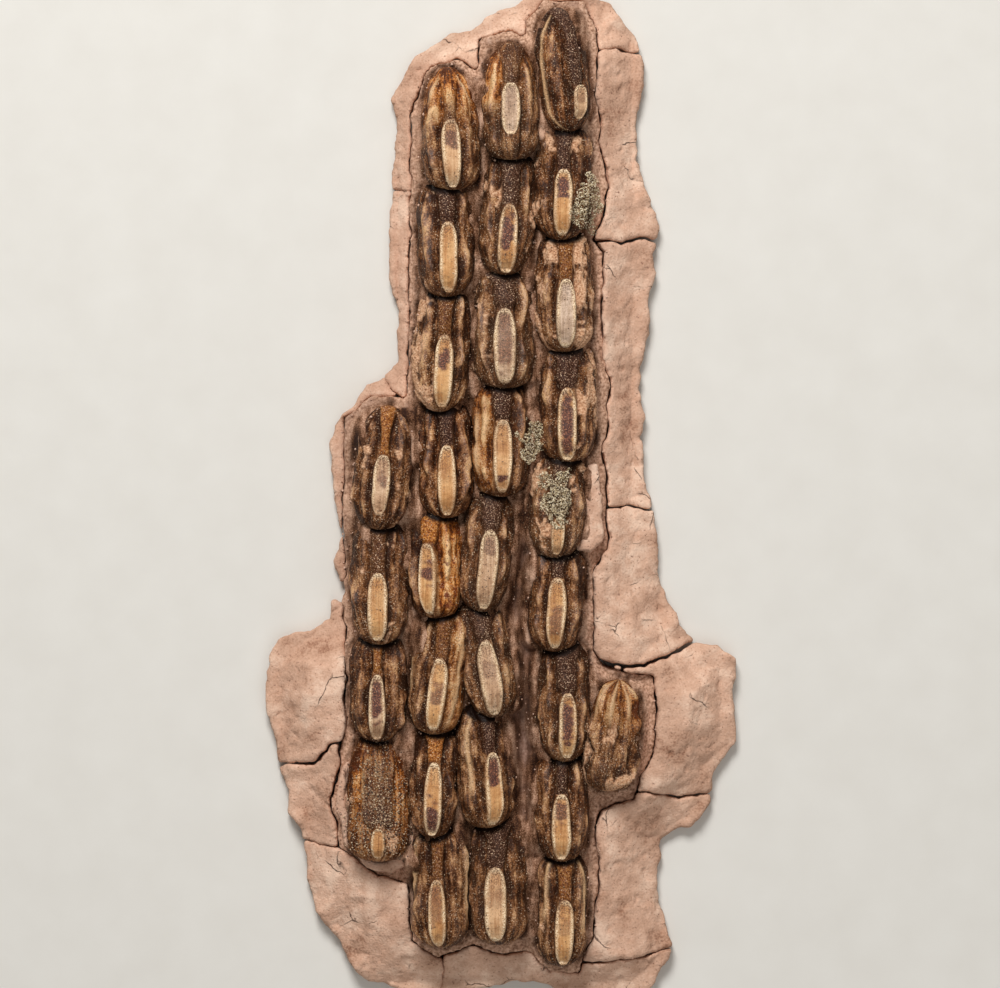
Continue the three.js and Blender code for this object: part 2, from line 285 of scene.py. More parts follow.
# %% [markdown]
# Each egg's lid has its own place and size. The lists give, for each column from the top down,
# the shares of the egg's length where the lid starts and ends, its half width, and how far it
# lies to the right of the egg's middle line.

# %% Lids of the columns
LIDS = {
    "c3": {
        "start": [0.2, 0.01, 0.03, 0.03, 0.02, 0.02, 0.02, 0.03],
        "end": [0.64, 0.54, 0.62, 0.62, 0.63, 0.64, 0.6, 0.59],
        "half": [0.23, 0.24, 0.27, 0.23, 0.24, 0.25, 0.22, 0.27],
        "aside": [0, 0.05, 0.02, 0, 0.07, -0.07, -0.08, -0.07],
    },
    "c4": {
        "start": [0.08, 0.03, 0.03, 0.01, 0.03, 0.03, 0.03, 0.02, 0.02],
        "end": [0.35, 0.57, 0.57, 0.59, 0.36, 0.68, 0.55, 0.59, 0.56],
        "half": [0.17, 0.23, 0.24, 0.24, 0.16, 0.23, 0.22, 0.23, 0.23],
        "aside": [-0.06, 0.04, 0, 0, 0.02, 0.05, 0.04, -0.02, 0.05],
    },
    "c1": {
        "start": [0.11, 0.03, 0.02, 0.03],
        "end": [0.6, 0.55, 0.6, 0.25],
        "half": [0.21, 0.25, 0.2, 0.17],
        "aside": [0, -0.03, -0.02, 0],
    },
    "c2": {
        "start": [0.01, 0.03, 0.03, 0.02, 0.03, 0.03, 0.02, 0.02],
        "end": [0.56, 0.61, 0.59, 0.6, 0.65, 0.58, 0.64, 0.55],
        "half": [0.23, 0.22, 0.23, 0.22, 0.22, 0.22, 0.22, 0.21],
        "aside": [-0.02, 0.07, 0.05, 0.03, 0.02, 0.1, -0.01, -0.03],
    },
    "side": {"start": [0.0], "end": [0.12], "half": [0.15], "aside": [0]},
}
for column, values in LIDS.items():
    for key, row in values.items():
        for i, value in enumerate(row):
            eggs[f"{column}_{i + 1}"]["lid_" + key] = value
lid_lengths = [(egg["lid_end"] - egg["lid_start"]) * (egg["top"] - egg["low"]) for egg in eggs.values()]
print("longest lid", round(max(lid_lengths), 2))

# %% [markdown]
# Time has treated each egg in its own way. Some keep an amber shell, some are grey with dust,
# and the lids are stained from ochre to nearly black. A short list says what is special about
# each egg, and everything that it doesn't name keeps a plain value.

# %% What is special about each egg
PLAIN = {
    "neck": 0.17,        # half width of the neck
    "orange": 0.0,       # how orange the neck is
    "amber": 0.0,        # how amber the upper half of the shell is
    "amber_low": 0.0,    # how amber the lower half is
    "amber_side": 0.0,   # the same for one flank, negative on the left
    "amber_from": 0.0,   # share of the length where that flank's amber starts
    "amber_rims": 0.0,   # how amber a band along both flanks is
    "crest": 1.0,        # how clearly the crest stands out
    "folds": 1.0,        # how strong the folds are
    # shade is a painted shade that darkens the flanks where the shell turns down
    "shade": 0.12,       # how dark the flanks turn at the sides
    "spots": 0.0,        # how spotted the amber is with rusty brown
    "ridges": [],        # thin pale ridges: angle from the crest, negative on the left, start and end
    "dents": 0.055,      # depth of the dents, in millimetres
    "wax": 0.45,         # how pale the folds of the flanks are
    "dust": 0.35,        # how thick the film of dust is
    "grains": 1.0,       # how many loose grains lie on the egg
    "grain_size": 1.0,   # how coarse they are
    "coat": 0.0,         # remains of the covering on the shell
    "coat_side": 0,      # the flank that they cling to, negative on the left, 0 for both
    "coat_to": 1.2,      # share of the length up to which they cling
    "grey": 0.0,         # how grey the lid is
    "stain": 0.2,        # how dark the lid's stain is
    "stain_at": 0.6,     # where the stain lies along the lid, from its lower end
    "stain_long": 0.3,   # how long the stain is, as a share of the lid
}
SPECIAL = {
    "c1_1": {"neck": 0.11, "orange": 0.7, "wax": 0.6, "grey": 0.6, "stain": 0.5, "stain_at": 0.6,
             "coat": 0.3},
    "c1_2": {"orange": 0.15, "dust": 0.5, "coat": 0.25, "stain": 0.1},
    "c1_3": {"neck": 0.1, "orange": 0.6, "grey": 0.6, "stain": 0.8, "stain_at": 0.6, "stain_long": 0.7},
    "c1_4": {"amber": 0.55, "amber_low": 0.35, "amber_rims": 0.4, "crown": 2.3, "neck": 0.36,
             "dust": 0.22, "wax": 0.0, "stain": 0.0, "folds": 0.3, "dents": 0.02, "coat": 0.2,
             "crest": 0.35, "shade": 2.0, "spots": 0.4, "grains": 12, "grain_size": 1.7},
    "c2_1": {"amber": 1.0, "neck": 0.14, "grey": 0.3, "stain": 0.6, "stain_at": 0.7, "wax": 0.6,
             "ridges": [(-0.95, 0.72, 1.0), (0.9, 0.7, 1.0)]},
    "c2_2": {"neck": 0.2, "stain": 0.05, "coat": 0.3, "coat_side": -1},
    "c2_3": {"orange": 0.3, "stain": 0.7, "stain_at": 0.65, "wax": 0.6, "coat": 0.9, "coat_side": -1},
    "c2_4": {"stain": 0.15, "wax": 0.25, "dust": 0.15, "coat": 0.25, "coat_side": -1},
    "c2_5": {"neck": 0.22, "orange": 1.0, "amber_side": 1.0, "spots": 1.0, "stain": 0.7,
             "stain_at": 0.6, "dust": 0.1},
    "c2_6": {"orange": 0.35, "stain": 0.55, "stain_at": 0.5, "amber_side": 0.5, "wax": 0.8,
             "ridges": [(-1.2, 0.3, 0.8), (0.9, 0.1, 0.7)]},
    "c2_7": {"neck": 0.19, "orange": 0.9, "stain": 0.95, "stain_at": 0.22, "stain_long": 0.5},
    "c2_8": {"neck": 0.14, "orange": 0.35, "stain": 0.4, "stain_long": 0.8, "wax": 0.7,
             "ridges": [(-1.1, 0.4, 0.9), (1.2, 0.2, 0.8)]},
    "c3_1": {"amber": 0.35, "amber_side": -0.9, "amber_from": 0.42, "neck": 0.2, "grey": 0.9,
             "dust": 0.9, "stain": 0.15},
    "c3_2": {"neck": 0.22, "stain": 0.95, "stain_at": 0.55, "stain_long": 0.6, "dust": 0.7, "coat": 0.4},
    "c3_3": {"neck": 0.27, "grey": 0.7, "dust": 1.0, "stain": 0.5, "stain_long": 0.9, "wax": 0.6,
             "coat": 0.3},
    "c3_4": {"neck": 0.22, "grey": 0.1, "stain": 0.9, "stain_at": 0.2, "stain_long": 0.1,
             "amber_side": -0.6, "ridges": [(-1.0, 0.2, 0.65)]},
    "c3_5": {"neck": 0.24, "grey": 0.6, "dust": 0.8, "stain": 0.45, "stain_at": 0.8},
    "c3_6": {"neck": 0.22, "grey": 0.6, "dust": 0.8, "stain": 0.3, "wax": 0.6},
    "c3_7": {"neck": 0.16, "stain": 0.95, "stain_at": 0.8, "stain_long": 0.6, "wax": 0.8,
             "ridges": [(-0.9, 0.3, 0.9)]},
    "c3_8": {"neck": 0.25, "grey": 0.3, "stain": 0.2, "dust": 0.6},
    "c4_1": {"stain": 0.3, "grey": 0.5, "dust": 0.4, "wax": 0.05, "folds": 0.5,
             "ridges": [(-1.45, 0.0, 0.95), (0.0, 0.75, 1.0)]},
    "c4_2": {"stain": 0.85, "stain_at": 0.72, "stain_long": 0.35, "coat": 0.3},
    "c4_3": {"orange": 0.5, "grey": 1.0, "stain": 0.0, "wax": 0.7, "coat": 0.7},
    "c4_4": {"neck": 0.26, "stain": 0.9, "stain_at": 0.5, "stain_long": 0.9, "coat": 0.7,
             "coat_side": 1},
    "c4_5": {"neck": 0.2, "grey": 0.2, "dust": 0.9, "stain": 0.0, "coat": 0.5},
    "c4_6": {"neck": 0.15, "stain": 0.5, "stain_at": 0.4, "stain_long": 0.5},
    "c4_7": {"neck": 0.24, "stain": 0.85, "stain_at": 0.55, "stain_long": 0.7, "dust": 0.6},
    "c4_8": {"neck": 0.13, "stain": 0.6, "stain_at": 0.75, "stain_long": 0.35},
    "c4_9": {"orange": 0.5, "stain": 0.3, "wax": 0.7, "coat": 0.3, "coat_side": -1,
             "ridges": [(-0.8, 0.4, 1.0), (1.0, 0.3, 0.9)]},
    "side_1": {"amber": 0.65, "spots": 0.7, "shade": 0.8, "wax": 0.6, "dust": 0.6, "coat": 0.62,
               "coat_to": 0.6, "crest": 0.1, "folds": 1.8, "dents": 0.15,
               "ridges": [(-0.8, 0.66, 1.0), (-0.1, 0.6, 1.0), (0.7, 0.68, 0.95)]},
}
for name, egg in eggs.items():
    egg.update(PLAIN)
    egg.update(SPECIAL.get(name, {}))
print("eggs with values of their own", len(SPECIAL))

# %% [markdown]
# ## The shape of an egg
# One egg is a keg with a blunt lower end and a slightly more pointed upper end. It could be
# sculpted by hand, but thirty eggs that share one shape are easier to keep alike as a formula.
# A sphere gives the mesh, and the formula moves its points: along the egg by the sphere's
# latitude, round the egg by its longitude. More of the points go to the top, which shows.

# %% Outline of the keg
WIDEST_AT = 0.44
LOWER_FULLNESS = 0.45
UPPER_FULLNESS = 0.5
SECTION_ROUNDNESS = 1.9
HALF_DEPTH = 0.58
AXIS_HEIGHT = 1.12
AXIS_RISE = 0.15


def fullness(egg, t):
    """Share of the full width and depth at a share t of the egg's length."""
    lower = np.clip((WIDEST_AT - t) / WIDEST_AT, 0, 1)
    upper = np.clip((t - WIDEST_AT) / (1 - WIDEST_AT), 0, 1)
    lower_end = (1 - lower ** egg["blunt"]) ** LOWER_FULLNESS
    upper_end = (1 - upper ** egg["crown"]) ** UPPER_FULLNESS
    return np.where(t < WIDEST_AT, lower_end, upper_end)


def lower_edge(egg, x):
    """How far down the egg's lower end reaches at a place across the mass."""
    side = np.clip(np.abs(x - egg["x"]) / (egg["width"] / 2), 0, 0.99)
    t = WIDEST_AT * (1 - (1 - side ** (1 / LOWER_FULLNESS)) ** (1 / egg["blunt"]))
    return egg["low"] + t * (egg["top"] - egg["low"])


# %% [markdown]
# Four small functions describe every relief below: a soft step, a bell-shaped hump, noise at
# a list of points, and a slow random curve along an egg.

# %% Steps, humps and noise
def smooth_step(low, high, value):
    share = np.clip((value - low) / (high - low), 0, 1)
    return share * share * (3 - 2 * share)


def hump(value, middle, reach):
    return np.exp(-(((value - middle) / reach) ** 2))


def noise_at(points, scale, seed):
    return np.array([noise.noise(Vector(p) * scale + Vector((seed, 0, 0))) for p in points])


def wander_along(t, seed):
    knots = np.linspace(0, 1, 25)
    return np.interp(t, knots, [noise.noise(Vector((seed, 4 * knot, 0))) for knot in knots])


# %% [markdown]
# Along the top of each egg runs a crest. Its lower half carries the lid, through which the
# young insect leaves. Above the lid it narrows to a neck, and it widens again into a fork.

# %% Crest
CREST_AT = [0.0, 0.07, 0.17, 0.3, 0.43, 0.5, 0.62, 0.76, 0.88, 0.975, 1.0]
CREST_HIGH = [0.08, 0.13, 0.15, 0.15, 0.15, 0.14, 0.13, 0.12, 0.09, 0.03, 0.0]
CREST_EDGE = 0.05


def crest_half_width(egg, t):
    end = egg["lid_end"]
    lid, neck = egg["lid_half"] + 0.01, egg["neck"]
    at = [0, 0.05, 0.35 * end, 0.75 * end, end, end + 0.05, 0.8, 0.9, 1.0]
    half = [0.6 * lid, 0.8 * lid, lid, lid, 0.75 * lid, neck, 1.1 * neck, 1.6 * neck, 1.8 * neck]
    return np.interp(t, at, half)


def place_on_egg(egg, across, t, up):
    """From an egg's own measures to its place in the mass."""
    length = egg["top"] - egg["low"]
    roll = math.radians(egg["roll"])
    turn = math.radians(egg["turn"])
    x = across * math.cos(roll) + up * math.sin(roll)
    z = up * math.cos(roll) - across * math.sin(roll) + AXIS_HEIGHT + AXIS_RISE * (0.5 - t) * length
    y = (t - 0.5) * length
    return np.stack(
        [
            egg["x"] + x * math.cos(turn) - y * math.sin(turn),
            (egg["top"] + egg["low"]) / 2 + x * math.sin(turn) + y * math.cos(turn),
            z,
        ],
        axis=1,
    )


# %% [markdown]
# The relief of the shell comes next: the crest with a groove at its foot, soft folds on each
# flank, thin pale ridges on a few eggs, and wrinkles and lumps everywhere. Nothing on a real
# egg runs quite straight, so each fold wanders and fades on its way.

# %% Folds and ridges
FOLDS = [(0.7, 1.0), (1.15, 0.6)]
FOLD_REACH = 0.15
FOLD_HIGH = 0.08
RIDGE_REACH = 0.08
RIDGE_HIGH = 0.035


def folds_of(egg, lie, angle, t, seed):
    total = np.zeros_like(t)
    for number, (middle, strength) in enumerate(FOLDS):
        for side in (-1, 1):
            own = seed + 13 * number + 5 * side
            place = middle * (0.5 + 0.5 * fullness(egg, t)) + 0.28 * wander_along(t, own)
            height = strength * (0.85 + 0.6 * math.sin(7 * own)) * (1 + 1.4 * wander_along(t, own + 50))
            total += height * hump(side * angle, place, FOLD_REACH)
    broken = smooth_step(-0.3, 0.12, noise_at(lie * (1.5, 1, 0), 1.7, seed + 31))
    return egg["folds"] * total * (0.25 + 0.75 * broken)


def ridges_of(egg, angle, t, seed):
    total = np.zeros_like(t)
    for number, (middle, start, end) in enumerate(egg["ridges"]):
        place = middle * (0.3 + 0.7 * fullness(egg, t)) + 0.08 * wander_along(t, seed + 70 + number)
        there = smooth_step(start - 0.08, start + 0.08, t) * smooth_step(end + 0.08, end - 0.08, t)
        total += hump(angle, place, RIDGE_REACH) * there
    return total


# %% Crest and groove
GROOVE_AT = 0.07
GROOVE_REACH = 0.07
GROOVE_DEEP = 0.1


def crest_of(egg, across, angle, t):
    half = crest_half_width(egg, t)
    offset = np.abs(across - egg["lid_aside"] * smooth_step(1, 0.4, t))
    on_top = np.cos(angle) > 0
    crest = smooth_step(-CREST_EDGE / 2, CREST_EDGE / 2, half - offset) * on_top
    groove = hump(offset, half + GROOVE_AT, GROOVE_REACH) * (1 - crest) * on_top
    groove *= np.sin(np.pi * t) ** 0.5
    return crest * egg["crest"], groove * egg["crest"], np.clip(offset / half, 0, 1)


# %% Remains of the covering on the shell
def coat_of(egg, lie, side, seed):
    if egg["coat"] == 0:
        return np.zeros(len(lie))
    one_side = 1 if egg["coat_side"] == 0 else smooth_step(0.1, 0.5, egg["coat_side"] * side)
    patchy = noise_at(lie, 1.7, seed + 21) + 0.35 * noise_at(lie, 7, seed + 22)
    t = lie[:, 1] / (egg["top"] - egg["low"])
    clings = one_side * smooth_step(egg["coat_to"] + 0.1, egg["coat_to"] - 0.1, t)
    return smooth_step(0, 0.12, patchy + egg["coat"] - 0.75) * clings


# %% [markdown]
# What the relief is at each point is kept as attributes of the mesh, so that the shell's
# material can paint shade into the hollows and light onto the raised folds, paint the shadow
# under the egg above, colour the neck and follow the streaks along the egg.

# %% Attributes and mesh helpers
def set_attribute(mesh, name, values):
    layer = mesh.attributes.new(name, "FLOAT", "POINT")
    layer.data.foreach_set("value", np.asarray(values, dtype=np.float32))


def mesh_object(name, mesh, material):
    piece = bpy.data.objects.new(name, mesh)
    mesh.materials.append(material)
    collection.objects.link(piece)
    mesh.polygons.foreach_set("use_smooth", [True] * len(mesh.polygons))
    return piece


def points_of(mesh):
    flat = np.empty(len(mesh.vertices) * 3)
    mesh.vertices.foreach_get("co", flat)
    return flat.reshape(-1, 3)


# %% Body of one egg
AROUND = 96
ALONG = 120
SUNK_TO = 0.42
LIP_SHADOW_LONG = 0.17
WRINKLE_HIGH = 0.045
LUMP_HIGH = 0.025
GRAIN_HIGH = 0.014
UNDER_LID = 0.07


def ball_mesh(name):
    bm = bmesh.new()
    bmesh.ops.create_uvsphere(bm, u_segments=AROUND, v_segments=ALONG, radius=1)
    return mesh_from(bm, name)


def egg_body(name, egg, seed, material):
    mesh = ball_mesh(name)
    ball = points_of(mesh)
    t = np.clip((1 - ball[:, 2]) / 2, 0, 1)
    turn = np.arctan2(-ball[:, 1], ball[:, 0]) / np.pi
    angle = np.pi * (0.45 * turn + 0.55 * turn**3)
    full = fullness(egg, t)
    power = 2 / SECTION_ROUNDNESS
    side = np.sign(np.sin(angle)) * np.abs(np.sin(angle)) ** power
    rise = np.sign(np.cos(angle)) * np.abs(np.cos(angle)) ** power
    across = egg["width"] / 2 * full * side
    length = egg["top"] - egg["low"]
    lie = np.stack([across, t * length, rise], axis=1)

    # Relief, as a height over the plain keg in millimetres
    crest, groove, from_middle = crest_of(egg, across, angle, t)
    past_nose = 0.35 + 0.65 * smooth_step(0, 0.2, t)
    fold = folds_of(egg, lie, angle, t, seed) * (1 - crest) * past_nose
    ridge = ridges_of(egg, angle, t, seed) * (1 - crest)
    coat = coat_of(egg, lie, side, seed) * (1 - crest)
    grain = noise_at(lie, 14, seed + 5)
    relief = FOLD_HIGH * (fold - 0.5) + RIDGE_HIGH * ridge - GROOVE_DEEP * groove
    relief += WRINKLE_HIGH * noise_at(lie * (6.5, 1.2, 0), 1.0, seed + 3) * (1 - crest)
    relief += LUMP_HIGH * noise_at(lie, 5.5, seed + 7) * (1 - 0.6 * crest)
    out = relief + egg["dents"] * noise_at(lie, 2.2, seed + 9) * past_nose
    out += GRAIN_HIGH * grain * (0.4 + crest) + coat * (0.035 + 0.03 * grain)
    under_lid = crest * smooth_step(egg["lid_end"] + 0.04, egg["lid_end"], t)
    out = out * (1 - under_lid) - UNDER_LID * under_lid
    neck = crest * smooth_step(egg["lid_end"] - 0.02, egg["lid_end"] + 0.02, t)
    high = np.interp(t, CREST_AT, CREST_HIGH) * crest * (1 - 0.4 * neck * from_middle**2)
    up = HALF_DEPTH * full * rise + out * np.cos(angle) * full + high
    place = place_on_egg(egg, across + out * np.sin(angle) * full, t, up)
    place[:, 2] = np.maximum(place[:, 2], SUNK_TO)
    mesh.vertices.foreach_set("co", (place * MM).ravel())

    # What the material needs to know
    upper = smooth_step(0.35, 0.9, t)
    flank = smooth_step(0.25, 0.5, np.sign(egg["amber_side"]) * side)
    start = egg["amber_from"]
    amber = egg["amber"] * upper + egg["amber_low"] * (1 - upper)
    amber += abs(egg["amber_side"]) * flank * smooth_step(start, start + 0.1, t)
    amber += egg["amber_rims"] * hump(np.abs(side), 0.72, 0.2) * smooth_step(0.25, 0.5, t)
    # Painted shadow: a nearly black band just below the lower end of the egg above, where its crescent of
    # shadow falls
    lip_shadow = np.zeros_like(t)
    if egg["above"]:
        gap = lower_edge(eggs[egg["above"]], place[:, 0]) - place[:, 1]
        lip_shadow = smooth_step(LIP_SHADOW_LONG, 0.3 * LIP_SHADOW_LONG, gap)
    # Painted light and shade: fold lightens the colour on raised relief and darkens it in grooves, and shade
    # darkens the flanks where the shell turns down
    shade = egg["shade"] * smooth_step(0.6, 1, np.abs(side))
    set_attribute(mesh, "fold", np.clip(0.5 + relief / 0.16 - shade, 0, 1))
    # The pale line along each ridge is partly a painted highlight
    set_attribute(mesh, "ridge", np.clip(ridge, 0, 1))
    # Painted shade: the shell darkens where it lies low between the eggs
    set_attribute(mesh, "low", smooth_step(1.55, 1.2, place[:, 2]))
    set_attribute(mesh, "lip_shadow", lip_shadow)
    set_attribute(mesh, "neck", np.clip(1.9 * neck, 0, 1) * (1 - egg["amber"] * upper))
    set_attribute(mesh, "orange", egg["orange"] * neck)
    set_attribute(mesh, "amber", np.clip(amber * (1 - 0.5 * crest * (t < 0.7)), 0, 1))
    set_attribute(mesh, "spots", egg["spots"] * np.clip(amber, 0, 1))
    set_attribute(mesh, "coat", coat)
    set_attribute(mesh, "dust", egg["dust"] * (1 - 0.6 * t))
    set_attribute(mesh, "wax", np.full(len(t), egg["wax"]))
    set_attribute(mesh, "around", angle * egg["width"] / 2)
    set_attribute(mesh, "along", t * length + seed)
    mesh.update()
    return mesh_object(name, mesh, material)


# %% [markdown]
# ## Egg shell
# The shell is a thin, tough skin, dark brown and nearly smooth. It gives the eye a satin gloss
# broken up by dirt: streaks and patches from nearly black to tan, amber where light gets
# through, a dark pebbled neck, and pale specks of dust all over. Over this lie painted light
# and shade: lighter on raised folds, partly a painted highlight on the pale ridges, darker in
# the grooves, on the flanks and low between the eggs, and a painted shadow under the egg above.
# The streaks follow the egg through the attributes "around" and "along", the grains and
# specks are noise in millimetres.
# Real specks are a hundredth of a millimetre, and they are drawn three times as coarse, so
# that the picture can still show them.

# %% Material: shell
STREAK_WIDTH = 0.11
STREAK_LENGTH = 0.7
PATCH_SIZE = 0.36
SPOT_SIZE = 0.2
GRAIN_SIZE = 0.045
SPECK_SIZE = 0.03


def shell_material():
    material, tree, shader, in_mm = new_material("egg_shell_satin")
    share = {
        name: add_node(tree, "ShaderNodeAttribute", "Fac", attribute_name=name)
        for name in ("fold", "ridge", "low", "lip_shadow", "neck", "orange", "amber", "spots", "coat", "dust",
                     "wax", "around", "along")
    }
    across, along = (
        add_node(tree, "ShaderNodeMath", 0, {0: share[name], 1: 1 / size}, operation="MULTIPLY")
        for name, size in (("around", STREAK_WIDTH), ("along", STREAK_LENGTH))
    )
    lie = add_node(tree, "ShaderNodeCombineXYZ", 0, {0: across, 1: along})
    streak = add_node(tree, "ShaderNodeTexNoise", "Fac", {"Vector": lie, "Scale": 1.0, "Detail": 4.0})
    patch, blot, grain, fine = (
        add_node(tree, "ShaderNodeTexNoise", "Fac", {"Vector": in_mm, "Scale": 1 / size, "Detail": detail})
        for size, detail in ((PATCH_SIZE, 5.0), (SPOT_SIZE, 3.0), (GRAIN_SIZE, 3.0), (SPECK_SIZE, 1.0))
    )

    # How light the shell is: streaks, patches and grains added up, with a painted light and shade
    # from the fold's height (lighter on raised folds, darker in grooves and on the turned-down
    # flanks), less a painted shade where it lies low between the eggs
    lift = -1.035
    for part, weight in (
        (share["fold"], 0.42), (streak, 1.25), (patch, 0.95), (grain, 0.6), (share["low"], -0.16)
    ):
        lift = add_node(tree, "ShaderNodeMath", 0, {0: part, 1: weight, 2: lift}, operation="MULTIPLY_ADD")
    ramps = {
        "brown": (lift, [(0.24, "#230e05"), (0.42, "#48240f"), (0.56, "#714222"), (0.7, "#9a663e"),
                         (0.88, "#c99a69")]),
        "waxy": (lift, [(0.25, "#30160a"), (0.42, "#5f381d"), (0.58, "#936642"), (0.82, "#cea073")]),
        "honey": (lift, [(0.2, "#4a210a"), (0.34, "#94521e"), (0.49, "#c98343"), (0.74, "#ecc089")]),
        "pebbled": (fine, [(0.4, "#24120b"), (0.54, "#46291c"), (0.64, "#71503e"), (0.76, "#b8957c")]),
        "rusty": (grain, [(0.34, "#5f2c0d"), (0.5, "#a45f24"), (0.68, "#d99a55")]),
        "crumbly": (grain, [(0.32, "#8a5e42"), (0.46, "#bf8f6c"), (0.66, "#e0b997")]),
    }
    tones = {
        name: add_node(tree, "ShaderNodeValToRGB", 0, {0: value}, stops=stops)
        for name, (value, stops) in ramps.items()
    }

    # Where rusty spots, dust and dark specks lie. The dust is a brown film, thickest low on the
    # egg, with pale specks where it drifts together.
    blot = add_node(tree, "ShaderNodeMapRange", "Result", {"Value": blot, "From Min": 0.54, "From Max": 0.64})
    blot = add_node(tree, "ShaderNodeMath", 0, {0: blot, 1: share["spots"]}, operation="MULTIPLY")
    film = add_node(tree, "ShaderNodeMath", 0, {0: share["dust"], 1: patch}, operation="MULTIPLY")
    thin_film = add_node(tree, "ShaderNodeMath", 0, {0: film, 1: 0.6}, operation="MULTIPLY")
    pale_speck, drift, dark_speck = (
        add_node(tree, "ShaderNodeMapRange", "Result", {"Value": value, **limits})
        for value, limits in (
            (fine, {"From Min": 0.63, "From Max": 0.73}),
            (patch, {"From Min": 0.4, "From Max": 0.62, "To Min": 0.15}),
            (fine, {"From Min": 0.42, "From Max": 0.32, "To Max": 0.7}),
        )
    )
    drift = add_node(tree, "ShaderNodeMath", 0, {0: film, 1: 0.8, 2: drift}, operation="MULTIPLY_ADD")
    dusty = add_node(
        tree, "ShaderNodeMath", 0, {0: pale_speck, 1: drift}, operation="MULTIPLY", use_clamp=True
    )

    # From the bare shell outwards, each layer covers by its share what lies below it
    tone = tones["brown"]
    for cover, over in (
        (share["wax"], tones["waxy"]),
        (share["amber"], tones["honey"]),
        (blot, colour("#75381a")),
        # pale ridge lines, partly a painted highlight
        (share["ridge"], colour("#cfa67a")),
        (share["neck"], tones["pebbled"]),
        (share["orange"], tones["rusty"]),
        (thin_film, colour("#7a583e")),
        (dusty, colour("#e2c4a4")),
        (dark_speck, colour("#2a140a")),
        (share["coat"], tones["crumbly"]),
        # painted shadow below the lower end of the egg above
        (share["lip_shadow"], colour("#170a05")),
    ):
        layer = {FACTOR: cover, FIRST: tone, SECOND: over}
        tone = add_node(tree, "ShaderNodeMix", MIXED, layer, data_type="RGBA")
    tree.links.new(tone, shader.inputs["Base Color"])

    # Satin where bare and high, matt under dust and coat and in the hollows
    dull = add_node(tree, "ShaderNodeMath", 0, {0: dusty, 1: share["coat"]}, operation="MAXIMUM")
    rough = add_node(tree, "ShaderNodeMapRange", "Result", {"Value": dull, "To Min": 0.3, "To Max": 0.85})
    rough = add_node(tree, "ShaderNodeMath", 0, {0: grain, 1: 0.3, 2: rough}, operation="MULTIPLY_ADD")
    tree.links.new(rough, shader.inputs["Roughness"])
    limits = {"From Min": 0.2, "From Max": 0.7, "To Min": 0.06, "To Max": 0.5}
    shine = add_node(tree, "ShaderNodeMapRange", "Result", {"Value": share["fold"], **limits})
    tree.links.new(shine, shader.inputs["Specular IOR Level"])
    shader.inputs["IOR"].default_value = 1.5
    height = add_node(tree, "ShaderNodeMath", 0, {0: fine, 1: 0.5, 2: grain}, operation="MULTIPLY_ADD")
    bump = {"Height": height, "Strength": 0.8, "Distance": 0.025 * MM}
    tree.links.new(add_node(tree, "ShaderNodeBump", "Normal", bump), shader.inputs["Normal"])
    return material


# %% Lay the shells
shell_satin = shell_material()
shells = {}
for number, (name, egg) in enumerate(eggs.items()):
    shell = egg_body(f"shell_{name}", egg, 17 + 5.3 * number, shell_satin)
    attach(shell, "root")
    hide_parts(f"egg_{name}")
    shells[name] = shell
print("shells", len(shells), "triangles", sum(2 * len(s.data.polygons) for s in shells.values()))

# %% [markdown]
# ## The lids
# Each egg has a long oval lid, a plate of its own with a thin raised rim. It is dry and matt,
# ochre to grey, and some are stained dark. A grid is bent to the oval and laid on the crest,
# its edge is extruded down into the shell, and the open side below is closed. The odd egg
# beside the columns is crusted over and shows no lid.

# %% Lid of one egg
LID_ACROSS = 26
LID_ALONG = 84
LID_HIGH = 0.15
LID_RIM = 0.03
LID_SKIRT = 0.13
LID_TIP = 0.6


